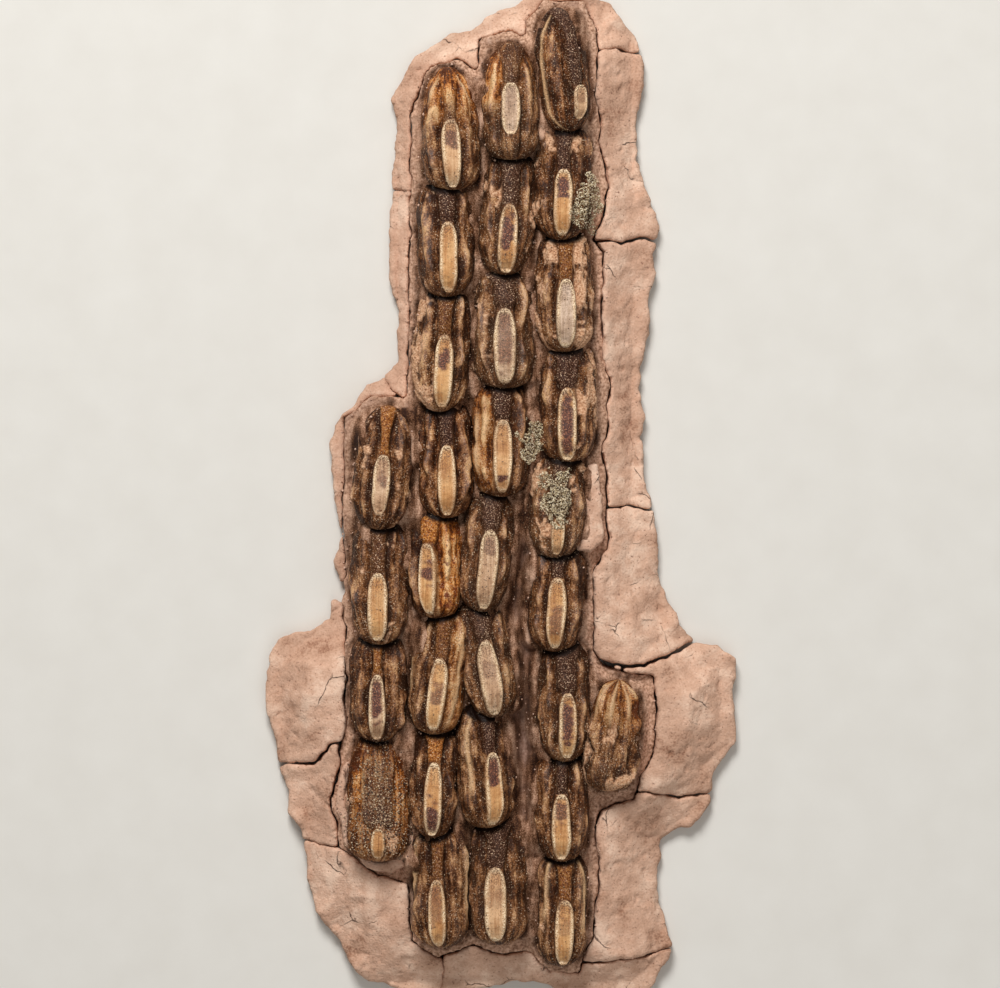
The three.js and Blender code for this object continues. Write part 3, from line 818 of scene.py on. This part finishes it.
def lid_piece(name, egg, seed, material):
    bm = bmesh.new()
    bmesh.ops.create_grid(bm, x_segments=LID_ACROSS, y_segments=LID_ALONG, size=1)
    flat = np.array([v.co for v in bm.verts])
    share = 0.5 - 0.5 * np.cos(np.pi * (flat[:, 1] + 1) / 2)
    outline = np.clip(1 - np.abs(2 * share - 1) ** 3, 0, 1) ** 0.45
    lean = 1 + 0.12 * math.sin(seed) * (share - 0.5)
    both_edges = np.stack([np.sign(flat[:, 0]), share * 3, 0 * share], axis=1)
    wobble = 1 + 0.1 * noise_at(both_edges, 1.0, seed)
    t = egg["lid_start"] + share * (egg["lid_end"] - egg["lid_start"])
    across = flat[:, 0] * egg["lid_half"] * outline * lean * wobble
    across = across + egg["lid_aside"] * smooth_step(1, 0.4, t)
    edge = np.maximum(np.abs(flat[:, 0]), np.abs(2 * share - 1) ** 3)
    full = np.maximum(fullness(egg, t), LID_TIP)
    bend = np.clip(1 - (np.abs(across) / (egg["width"] / 2 * full)) ** SECTION_ROUNDNESS, 0, 1)
    rim = hump(edge, 0.82, 0.2)
    lie = np.stack([across, share * 2.5, 0 * share], axis=1)
    rough = noise_at(lie, 9, seed + 2)
    high = LID_HIGH * (0.4 + 0.6 * smooth_step(0, 0.3, share))
    up = HALF_DEPTH * full * bend ** (1 / SECTION_ROUNDNESS) + high + LID_RIM * rim
    up = up + 0.012 * rough * (1 - rim) - 0.05 * smooth_step(0.93, 1, edge)
    blot = hump(share, egg["stain_at"], 0.5 * egg["stain_long"])
    blot = blot * hump(flat[:, 0], 0.2 * math.sin(seed), 1.1) + 0.55 * noise_at(lie, 4.5, seed + 6)
    inside = 1 - smooth_step(0.6, 0.85, edge)
    values = {
        "rim": rim,
        "stain": np.clip(1.4 * egg["stain"] * inside * smooth_step(0.3, 0.65, blot), 0, 1),
        "grey": 0 * rim + egg["grey"],
        "upper": np.maximum(smooth_step(0.55, 1, share), 0.6 * smooth_step(0.75, 1, edge)),
        "skirt": 0 * rim,
    }
    for layer_name, row in values.items():
        layer = bm.verts.layers.float.new(layer_name)
        for vert, value in zip(bm.verts, row):
            vert[layer] = value
    for vert, co in zip(bm.verts, place_on_egg(egg, across, t, up)):
        vert.co = co
    grown = bmesh.ops.extrude_edge_only(bm, edges=[e for e in bm.edges if e.is_boundary])["geom"]
    skirt = [g for g in grown if isinstance(g, bmesh.types.BMVert)]
    bmesh.ops.translate(bm, verts=skirt, vec=(0, 0, -LID_SKIRT))
    on_skirt = bm.verts.layers.float["skirt"]
    for vert in skirt:
        vert[on_skirt] = 1
    bmesh.ops.holes_fill(bm, edges=[e for e in bm.edges if e.is_boundary], sides=0)
    bmesh.ops.remove_doubles(bm, verts=bm.verts, dist=1e-4)
    bmesh.ops.recalc_face_normals(bm, faces=bm.faces)
    bmesh.ops.scale(bm, verts=bm.verts, vec=(MM, MM, MM))
    return mesh_object(name, mesh_from(bm, name), material)


# %% [markdown]
# The lid is a dry fibrous plate with the look of unglazed clay. It gives the eye a matt ochre
# ground with fine fibres along it, lighter towards its lower end, a broken pale rim, dark specks
# that thicken towards the neck and the edge, and a stain where damp has got in.

# %% Material: lid
FIBRE_WIDTH = 0.04
FIBRE_LENGTH = 0.9


def lid_material():
    material, tree, shader, in_mm = new_material("egg_lid_dry")
    share = {
        name: add_node(tree, "ShaderNodeAttribute", "Fac", attribute_name=name)
        for name in ("rim", "stain", "grey", "upper", "skirt")
    }
    stretch = {0: in_mm, 1: (1 / FIBRE_WIDTH, 1 / FIBRE_LENGTH, 1.0)}
    drawn = add_node(tree, "ShaderNodeVectorMath", 0, stretch, operation="MULTIPLY")
    fine, fibre, cloud = (
        add_node(tree, "ShaderNodeTexNoise", "Fac", {"Vector": place, "Scale": scale, "Detail": detail})
        for place, scale, detail in ((in_mm, 1 / SPECK_SIZE, 1.0), (drawn, 1.0, 3.0), (in_mm, 2.2, 4.0))
    )
    mottle = 0.06
    for part, weight in ((fibre, 0.6), (cloud, 0.7), (fine, 0.2), (share["upper"], -0.12)):
        terms = {0: part, 1: weight, 2: mottle}
        mottle = add_node(tree, "ShaderNodeMath", 0, terms, operation="MULTIPLY_ADD")
    ramps = {
        "ochre": (mottle, [(0.5, "#74451e"), (0.66, "#ad733d"), (0.8, "#c68e56"), (0.94, "#d9a76f")]),
        "greyish": (mottle, [(0.5, "#6a503d"), (0.66, "#9d7f66"), (0.8, "#bb9c82"), (0.94, "#d6baa2")]),
        "damp": (fine, [(0.38, "#34160e"), (0.54, "#653422"), (0.66, "#925a3c"), (0.78, "#c8946a")]),
        "pale": (fine, [(0.34, "#b0865c"), (0.48, "#e2bf94"), (0.64, "#f7e0bd")]),
    }
    tones = {
        name: add_node(tree, "ShaderNodeValToRGB", 0, {0: value}, stops=stops)
        for name, (value, stops) in ramps.items()
    }

    # The pale rim is broken here and there, and dark specks thicken towards the upper end and the edge
    broken, dark_speckle = (
        add_node(tree, "ShaderNodeMapRange", "Result", {"Value": value, **limits})
        for value, limits in (
            (cloud, {"From Min": 0.36, "From Max": 0.56, "To Min": 0.35}),
            (fine, {"From Min": 0.53, "From Max": 0.4, "To Max": 0.85}),
        )
    )
    broken = add_node(tree, "ShaderNodeMath", 0, {0: share["rim"], 1: broken}, operation="MULTIPLY")
    thick = add_node(
        tree, "ShaderNodeMath", 0, {0: share["upper"], 1: 0.85, 2: 0.08}, operation="MULTIPLY_ADD"
    )
    dark_speckle = add_node(tree, "ShaderNodeMath", 0, {0: dark_speckle, 1: thick}, operation="MULTIPLY")
    tone = tones["ochre"]
    for cover, over in (
        (share["grey"], tones["greyish"]),
        (share["stain"], tones["damp"]),
        (broken, tones["pale"]),
        (dark_speckle, colour("#4a2a17")),
        (share["skirt"], colour("#3d2414")),
    ):
        layer = {FACTOR: cover, FIRST: tone, SECOND: over}
        tone = add_node(tree, "ShaderNodeMix", MIXED, layer, data_type="RGBA")
    tree.links.new(tone, shader.inputs["Base Color"])
    shader.inputs["Roughness"].default_value = 0.65
    height = add_node(tree, "ShaderNodeMath", 0, {0: fibre, 1: 0.4, 2: fine}, operation="MULTIPLY_ADD")
    bump = {"Height": height, "Strength": 0.5, "Distance": 0.02 * MM}
    tree.links.new(add_node(tree, "ShaderNodeBump", "Normal", bump), shader.inputs["Normal"])
    return material


# %% Lay the lids
lid_dry = lid_material()
lids = {}
for number, (name, egg) in enumerate(eggs.items()):
    if name == "side_1":
        continue
    lid = lid_piece(f"lid_{name}", egg, 3 + 7.7 * number, lid_dry)
    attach(lid, "root")
    lids[name] = lid
print("lids", len(lids))

# %% [markdown]
# ## Bed and covering
# The solids of the frame have the true outlines, but flat tops and straight edges. A copy of
# each is remeshed into small even squares and roughened. All plates are bent by one and the
# same slow noise, so that the cracks between them turn jagged but stay open, and then lumps,
# grains and pits are added. The remesher has a smallest square of a tenth of a unit, so the
# copy is blown up a thousand times first.

# %% Remesh a solid of the frame
def fine_copy(node_name, square):
    """The merged and evenly remeshed copy of a solid, in millimetres."""
    bm = bmesh.new()
    bm.from_mesh(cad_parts[node_name].data)
    bmesh.ops.remove_doubles(bm, verts=bm.verts, dist=1e-7)
    bmesh.ops.scale(bm, verts=bm.verts, vec=(1 / MM**2, 1 / MM**2, 1 / MM**2))
    coarse = mesh_from(bm, "coarse")
    holder = bpy.data.objects.new("holder", coarse)
    collection.objects.link(holder)
    remesh = holder.modifiers.new("even", "REMESH")
    remesh.mode = "VOXEL"
    remesh.voxel_size = square / MM
    even = holder.evaluated_get(bpy.context.evaluated_depsgraph_get())
    fine = bpy.data.meshes.new_from_object(even)
    bpy.data.objects.remove(holder)
    bpy.data.meshes.remove(coarse)
    fine.transform(Matrix.Scale(MM, 4))
    return fine


# %% Roughen it
def bend_sideways(place, reach):
    """The shared slow noise that makes straight edges jagged."""
    flat = place * (1, 1, 0)
    shift = reach * (noise_at(flat, 1.6, 71) + 0.6 * noise_at(flat, 4.5, 72))
    slide = reach * (noise_at(flat, 1.6, 81) + 0.6 * noise_at(flat, 4.5, 82))
    return place + np.stack([shift, slide, 0 * shift], axis=1)


def nearest_distance(places, targets):
    tree = KDTree(len(targets))
    for i, target in enumerate(targets):
        tree.insert(target, i)
    tree.balance()
    return np.array([tree.find(place)[2] for place in places])


def roughened(node_name, piece_name, square, bend, relief, material, rise=None):
    """Relief moves the surface along its normal, rise lifts only its top."""
    mesh = fine_copy(node_name, square)
    mesh.name = piece_name
    place = points_of(mesh)
    normal = np.array([v.normal for v in mesh.vertices])
    lowest = place[:, 2].min()
    place = bend_sideways(place, bend)
    lift = smooth_step(lowest, lowest + 0.15, place[:, 2])
    moved = place + normal * (relief(place) * lift)[:, None]
    if rise:
        plan = place * (1, 1, 0)
        inward = nearest_distance(plan, plan[np.abs(normal[:, 2]) < 0.3])
        moved[:, 2] += rise(place, inward) * smooth_step(0.2, 0.7, normal[:, 2])
    place = np.maximum(moved, (-np.inf, -np.inf, lowest))
    place = np.clip(place, cad_box[0] / MM, cad_box[1] / MM)
    mesh.vertices.foreach_set("co", (place * MM).ravel())
    mesh.update()
    piece = mesh_object(piece_name, mesh, material)
    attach(piece, "root")
    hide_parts(node_name)
    return piece


# %% [markdown]
# The covering is dried secretion like fine mud, pinkish and quite matt. It gives the eye a
# sandy surface with soft clouds of colour, dirt where it thins out, and hairline cracks. The
# cracks are the borders of Voronoi cells, bent by noise and shown only here and there.

# %% Material: covering
CRACK_CELL = 1.3
CRACK_WIDTH = 0.014


def covering_material():
    material, tree, shader, in_mm = new_material("covering_dried")
    cloud, grain, dab = (
        add_node(tree, "ShaderNodeTexNoise", "Fac", {"Vector": in_mm, "Scale": scale, "Detail": detail})
        for scale, detail in ((0.9, 6.0), (20.0, 4.0), (3.5, 5.0))
    )
    mottle = -0.2
    for part, weight in ((grain, 0.45), (dab, 0.5), (cloud, 1.0)):
        terms = {0: part, 1: weight, 2: mottle}
        mottle = add_node(tree, "ShaderNodeMath", 0, terms, operation="MULTIPLY_ADD")
    stops = [(0.5, "#9c7057"), (0.64, "#c3997f"), (0.8, "#d4ab91"), (0.98, "#e7c4ab")]
    tone = add_node(tree, "ShaderNodeValToRGB", 0, {0: mottle}, stops=stops)

    # Cells whose borders, bent by noise, are the cracks
    swirl = add_node(tree, "ShaderNodeTexNoise", "Color", {"Vector": in_mm, "Scale": 2.5, "Detail": 3.0})
    bend = {0: swirl, 1: (0.3, 0.3, 0.3), 2: in_mm}
    bent = add_node(tree, "ShaderNodeVectorMath", 0, bend, operation="MULTIPLY_ADD")
    cells = {"Vector": bent, "Scale": 1 / CRACK_CELL}
    border = add_node(tree, "ShaderNodeTexVoronoi", "Distance", cells, feature="DISTANCE_TO_EDGE")

    # Dark specks, dirt where the covering is thin (its height over the ground in millimetres),
    # and where the cracks show
    high = add_node(tree, "ShaderNodeSeparateXYZ", "Z", {0: in_mm})
    speck, thin, crack, shown = (
        add_node(tree, "ShaderNodeMapRange", "Result", {"Value": value, **limits})
        for value, limits in (
            (grain, {"From Min": 0.35, "From Max": 0.28}),
            (high, {"From Min": 0.4, "From Max": 0.12, "To Max": 0.7}),
            (border, {"From Min": CRACK_WIDTH, "From Max": 0.0}),
            (cloud, {"From Min": 0.56, "From Max": 0.62}),
        )
    )
    thin = add_node(tree, "ShaderNodeMath", 0, {0: thin, 1: cloud}, operation="MULTIPLY")
    crack = add_node(tree, "ShaderNodeMath", 0, {0: crack, 1: shown}, operation="MULTIPLY")
    for cover, over in ((speck, "#80594a"), (thin, "#7c5c45"), (crack, "#4a3022")):
        layer = {FACTOR: cover, FIRST: tone, SECOND: colour(over)}
        tone = add_node(tree, "ShaderNodeMix", MIXED, layer, data_type="RGBA")
    tree.links.new(tone, shader.inputs["Base Color"])
    shader.inputs["Roughness"].default_value = 0.95
    height = add_node(tree, "ShaderNodeMath", 0, {0: crack, 1: -0.8, 2: grain}, operation="MULTIPLY_ADD")
    bump = {"Height": height, "Strength": 0.8, "Distance": 0.03 * MM}
    tree.links.new(add_node(tree, "ShaderNodeBump", "Normal", bump), shader.inputs["Normal"])
    return material


# %% Lay the plates of covering
PLATE_SQUARE = 0.045
PLATE_BEND = 0.07
PLATE_SWELL = 0.032


def plate_relief(place):
    lumps = 0.035 * noise_at(place, 1.1, 4) + 0.016 * noise_at(place, 4, 5)
    grains = 0.012 * noise_at(place, 11, 6)
    pits = 0.025 * smooth_step(0.38, 0.5, noise_at(place, 5, 7))
    return PLATE_SWELL + lumps + grains - pits


crust_dry = covering_material()
crust_nodes = sorted(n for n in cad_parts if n.startswith("crust_"))
plates = {}
for node_name in crust_nodes:
    piece_name = "plate_" + node_name[6:]
    plate = roughened(node_name, piece_name, PLATE_SQUARE, PLATE_BEND, plate_relief, crust_dry)
    plates[node_name] = plate
print("plates", len(plates), "faces", sum(len(p.data.polygons) for p in plates.values()))

# %% [markdown]
# The bed is the same secretion, but smeared thin, darkened by the eggs and drawn out along the
# columns. It gives the eye a smoky brown with long soft ridges and a faint gloss in the
# hollows. Between the columns it climbs a little up the flanks of the eggs, and beside the
# plates it is smeared with pale covering.

# %% Material: bed
def bed_material():
    material, tree, shader, in_mm = new_material("bed_dried")
    smear, close = (
        add_node(tree, "ShaderNodeAttribute", "Fac", attribute_name=name) for name in ("smear", "close")
    )
    drawn, long = (
        add_node(tree, "ShaderNodeVectorMath", 0, {0: in_mm, 1: stretch}, operation="MULTIPLY")
        for stretch in ((5.0, 0.8, 2.0), (4.5, 1.3, 2.0))
    )
    streak, grain, patch, fine = (
        add_node(tree, "ShaderNodeTexNoise", "Fac", {"Vector": place, "Scale": scale, "Detail": detail})
        for place, scale, detail in (
            (drawn, 1.0, 5.0), (in_mm, 16.0, 3.0), (long, 1.0, 6.0), (in_mm, 1 / SPECK_SIZE, 1.0)
        )
    )
    mottle = add_node(tree, "ShaderNodeMath", 0, {0: grain, 1: 0.4, 2: streak}, operation="MULTIPLY_ADD")
    patchy = -0.2
    for part, weight in ((fine, 0.45), (patch, 1.0)):
        terms = {0: part, 1: weight, 2: patchy}
        patchy = add_node(tree, "ShaderNodeMath", 0, terms, operation="MULTIPLY_ADD")
    smoky, dirty, sandy = (
        add_node(tree, "ShaderNodeValToRGB", 0, {0: value}, stops=stops)
        for value, stops in (
            (mottle, [(0.46, "#41291d"), (0.62, "#6d4f40"), (0.78, "#967666"), (0.94, "#ba9e8e")]),
            (patchy, [(0.36, "#2d170d"), (0.48, "#603e28"), (0.6, "#946e56"), (0.74, "#caa389")]),
            (grain, [(0.32, "#84604a"), (0.5, "#bd947a"), (0.66, "#dab298")]),
        )
    )
    tone = smoky
    for cover, over in ((close, dirty), (smear, sandy)):
        layer = {FACTOR: cover, FIRST: tone, SECOND: over}
        tone = add_node(tree, "ShaderNodeMix", MIXED, layer, data_type="RGBA")
    tree.links.new(tone, shader.inputs["Base Color"])
    shader.inputs["Roughness"].default_value = 0.8
    shader.inputs["Specular IOR Level"].default_value = 0.15
    bump = {"Height": mottle, "Strength": 0.5, "Distance": 0.03 * MM}
    tree.links.new(add_node(tree, "ShaderNodeBump", "Normal", bump), shader.inputs["Normal"])
    return material


# %% Lay the bed
BED_SQUARE = 0.06
BED_BEND = 0.05
FAR_FROM_EGGS = 9.0


def beyond_eggs(place):
    """Distance in plan from the nearest egg, in millimetres."""
    nearest = np.full(len(place), FAR_FROM_EGGS)
    for egg in eggs.values():
        turn = math.radians(egg["turn"])
        x, y = place[:, 0] - egg["x"], place[:, 1] - (egg["top"] + egg["low"]) / 2
        along = y * math.cos(turn) - x * math.sin(turn)
        length = egg["top"] - egg["low"]
        half = egg["width"] / 2 * (0.2 + 0.8 * fullness(egg, np.clip(along / length + 0.5, 0, 1)))
        across = np.abs(x * math.cos(turn) + y * math.sin(turn)) - half
        nearest = np.minimum(nearest, np.maximum(across, np.abs(along) - length / 2))
    return nearest


def beside_plates(place):
    """Distance from the nearest plate of covering, in millimetres. Every seventh point will do."""
    targets = np.concatenate([points_of(plate.data)[::7] / MM for plate in plates.values()])
    return nearest_distance(place, targets)


def smear_at(place):
    near = smooth_step(0.75, 0.25, beside_plates(place) + 0.3 * noise_at(place, 2.5, 35))
    return near * smooth_step(0.0, 0.12, beyond_eggs(place) + 0.06 * noise_at(place, 6, 36))


def close_at(place):
    return smooth_step(0.4, 0.12, beyond_eggs(place) + 0.15 * noise_at(place, 2.5, 37))


def bed_relief(place):
    return 0.04 * noise_at(place, 4, 32) + 0.02 * noise_at(place, 12, 33)


def bed_rise(place, inward):
    """Up the flanks between the eggs, but low along the bed's own edge."""
    climb = smooth_step(0.34, 0.02, beyond_eggs(place))
    ridges = 0.16 * noise_at(place * (3.2, 0.5, 1), 1.0, 31)
    lumps = climb * (0.4 * noise_at(place * (1.5, 0.8, 1), 1.6, 38) + 0.1 * noise_at(place, 6, 39))
    inside = smooth_step(0.05, 0.5, inward)
    return 0.12 + 0.15 * smear_at(place) + inside * np.minimum(0.55 * climb + ridges + lumps, 0.8)


bed = roughened("bed", "bed_floor", BED_SQUARE, BED_BEND, bed_relief, bed_material(), bed_rise)
set_attribute(bed.data, "smear", smear_at(points_of(bed.data) / MM))
set_attribute(bed.data, "close", close_at(points_of(bed.data) / MM))
print("bed faces", len(bed.data.polygons))

# %% [markdown]
# ## Dust and crumbs
# Grains of dust lie on the eggs, and crumbs of covering line its broken edges. Each grain is a
# small icosphere, squeezed and turned at random with a fixed seed. Its place in plan is random,
# and a ray from above finds the height of the surface that it lies on.

# %% Find the surface under a place
RAY_FROM = 5
bpy.context.view_layer.update()
depsgraph = bpy.context.evaluated_depsgraph_get()
surfaces = []
for piece in (*shells.values(), *lids.values(), *plates.values(), bed):
    corners = [Vector(corner) / MM for corner in piece.bound_box]
    xs, ys = [corner.x for corner in corners], [corner.y for corner in corners]
    surface = BVHTree.FromObject(piece, depsgraph)
    surfaces.append((min(xs), max(xs), min(ys), max(ys), surface))
print("surfaces", len(surfaces))


def surface_under(x, y):
    """The highest point of the pieces at a place in plan, in millimetres, or nothing."""
    best = None
    for left, right, front, back, surface in surfaces:
        if left <= x <= right and front <= y <= back:
            hit = surface.ray_cast(Vector((x, y, RAY_FROM)) * MM, Vector((0, 0, -1)))[0]
            if hit is not None and (best is None or hit.z > best):
                best = hit.z
    return None if best is None else best / MM


# %% Grains as one mesh
BATCH = 120
GRAIN_POINTS = 12        # corners of the plainest icosphere
GRAIN_SQUEEZE = (0.6, 1.2)
GRAIN_TURN = 6.3         # up to a full turn, in radians


def grains_piece(name, spots, material, chance):
    """Spots are places and radii in millimetres. A batch at a time keeps bmesh quick."""
    whole = bmesh.new()
    for start in range(0, len(spots), BATCH):
        part = bmesh.new()
        for place, radius in spots[start:start + BATCH]:
            squeeze = [radius * chance.uniform(*GRAIN_SQUEEZE) * MM for _ in range(3)]
            spin = Euler([chance.uniform(0, GRAIN_TURN) for _ in range(3)])
            shape = Matrix.LocRotScale(Vector(place) * MM, spin, Vector(squeeze))
            bmesh.ops.create_icosphere(part, subdivisions=1, radius=1, matrix=shape)
        batch_mesh = mesh_from(part, "batch")
        whole.from_mesh(batch_mesh)
        bpy.data.meshes.remove(batch_mesh)
    mesh = mesh_from(whole, name)
    tones = [chance.random() for _ in spots]
    set_attribute(mesh, "tone", np.repeat(tones, GRAIN_POINTS))
    piece = mesh_object(name, mesh, material)
    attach(piece, "root")
    return piece


# %% Material: grains
def grain_material(name, stops, roughness):
    material, tree, shader, in_mm = new_material(name)
    own = add_node(tree, "ShaderNodeAttribute", "Fac", attribute_name="tone")
    grit = add_node(tree, "ShaderNodeTexNoise", "Fac", {"Vector": in_mm, "Scale": 40.0, "Detail": 2.0})
    mottle = add_node(tree, "ShaderNodeMath", 0, {0: grit, 1: 0.3, 2: own}, operation="MULTIPLY_ADD")
    tone = add_node(tree, "ShaderNodeValToRGB", 0, {0: mottle}, stops=stops)
    tree.links.new(tone, shader.inputs["Base Color"])
    shader.inputs["Roughness"].default_value = roughness
    return material


# %% [markdown]
# Most eggs carry only a little dust, mostly on the lower half. The lowest egg of the left column
# is thick with it round its lid, in a cap that widens downwards. Pale grains outnumber dark ones
# two to one.

# %% Scatter dust on the eggs
DUST_COUNT = 900         # on an egg whose dust and grains are both 1
DUST_RADIUS = (0.005, 0.016)
DUST_SPREAD = 0.32       # across an egg, as a share of its width
LOWEST_DUST = 0.9        # a ray that gets lower than this has missed the egg
PALE_SHARE = 0.67
chance = random.Random(5)
pale_spots, dark_spots = [], []
for egg in eggs.values():
    thick = egg["grains"] > 1
    for _ in range(int(DUST_COUNT * egg["dust"] * egg["grains"])):
        t = chance.betavariate(1.7, 2.7) if thick else min(chance.random(), chance.random())
        spread = 0.34 - 0.22 * t if thick else DUST_SPREAD
        across = chance.gauss(0, spread) * egg["width"] * float(fullness(egg, np.array(t)))
        if thick and t < egg["lid_end"] and abs(across) < 0.8 * egg["lid_half"]:
            continue
        x, y, _ = place_on_egg(egg, np.array([across]), np.array([t]), np.array([0.0]))[0]
        z = surface_under(x, y)
        if z is None or z < LOWEST_DUST:
            continue
        radius = DUST_RADIUS[0] + (DUST_RADIUS[1] - DUST_RADIUS[0]) * chance.random() ** 2
        radius *= egg["grain_size"]
        spots = pale_spots if chance.random() < PALE_SHARE else dark_spots
        spots.append(((x, y, z + 0.3 * radius), radius))
print("dust grains", len(pale_spots), "pale,", len(dark_spots), "dark")

# %% [markdown]
# Three heaps of greenish grey granules stick to the eggs. Each heap is a ragged oval in plan,
# thickest in the middle.

# %% Heaps of granules
HEAPS = [
    {"at": (2.08, 6.95), "reach": (0.44, 0.82), "taper": 0.0, "count": 2500, "thick": 0.16},
    {"at": (0.75, 1.3), "reach": (0.38, 0.7), "taper": 0.3, "count": 2100, "thick": 0.16},
    {"at": (1.4, -0.12), "reach": (0.5, 1.0), "taper": 0.45, "count": 3900, "thick": 0.12},
]
HEAP_RADIUS = (0.007, 0.021)
heap_spots = []
for heap in HEAPS:
    for _ in range(heap["count"]):
        far = chance.random() ** 0.5
        way = chance.uniform(0, 2 * math.pi)
        along = far * math.sin(way)
        x = heap["at"][0] + heap["reach"][0] * far * math.cos(way) * (1 + heap["taper"] * along)
        y = heap["at"][1] + heap["reach"][1] * along
        z = surface_under(x, y)
        ragged = noise.noise((2.5 * x, 2.5 * y, 0)) + 0.6 * noise.noise((8 * x, 8 * y, 0))
        if z is None or ragged < 1.4 * far - 1.0:
            continue
        radius = chance.uniform(*HEAP_RADIUS)
        heap_spots.append(((x, y, z + heap["thick"] * (1 - far) * chance.random()), radius))
print("granules in heaps", len(heap_spots))

# %% [markdown]
# Crumbs of covering lie along the edges of the plates and in the gap beside the eggs. They are
# scattered over the whole mass and kept where the ground beside them rises or drops steeply.

# %% Crumbs along broken edges
CRUMB_TRIES = 9000
CRUMB_RADIUS = (0.01, 0.035)
HIGHEST_CRUMB = 1.25
INSET = 0.2              # kept clear along the outside
NEAR = 0.09
JUMP = 0.22
half_width, half_length = [(extent - INSET * MM) / MM for extent in (cad_box[1].x, cad_box[1].y)]
crumb_spots = []
for _ in range(CRUMB_TRIES):
    x, y = chance.uniform(-half_width, half_width), chance.uniform(-half_length, half_length)
    z = surface_under(x, y)
    if z is None or z > HIGHEST_CRUMB:
        continue
    beside = [surface_under(x + NEAR, y), surface_under(x - NEAR, y), surface_under(x, y + NEAR)]
    if any(b is None for b in beside) or max(abs(b - z) for b in beside) < JUMP:
        continue
    radius = chance.uniform(*CRUMB_RADIUS)
    crumb_spots.append(((x, y, z + 0.4 * radius), radius))
print("crumbs", len(crumb_spots))

# %% [markdown]
# Each kind of grain becomes one piece. A grain gets a tone of its own, and a fine noise mottles
# it. All kinds are matt, the dark dust a little less.

# %% Lay dust, granules and crumbs
PALE_DUST = [(0.0, "#6b4f3d"), (0.55, "#98795d"), (1.1, "#d3b897")]
DARK_DUST = [(0.0, "#1d120c"), (0.6, "#3d291d"), (1.1, "#64483a")]
GRANULE = [(0.0, "#413120"), (0.3, "#927c5a"), (0.62, "#cfba93"), (1.1, "#f5e7ca")]
CRUMB = [(0.0, "#7c5843"), (0.5, "#b38b74"), (1.1, "#d8b49e")]
laid = [
    ("dust_pale", pale_spots, grain_material("dust_pale", PALE_DUST, 0.8), "egg_shell"),
    ("dust_dark", dark_spots, grain_material("dust_dark", DARK_DUST, 0.6), "egg_shell"),
    ("granules", heap_spots, grain_material("granules_grey", GRANULE, 0.9), "egg_shell"),
    ("crumbs", crumb_spots, grain_material("covering_crumbs", CRUMB, 0.95), "covering"),
]
for name, spots, material, slot in laid:
    piece = grains_piece(name, spots, material, chance)
    print(name, len(piece.data.polygons), "triangles")

# %% Print the frame's box and finish
print("cad", [round(v / MM, 2) for v in (*cad_box[0], *cad_box[1])])
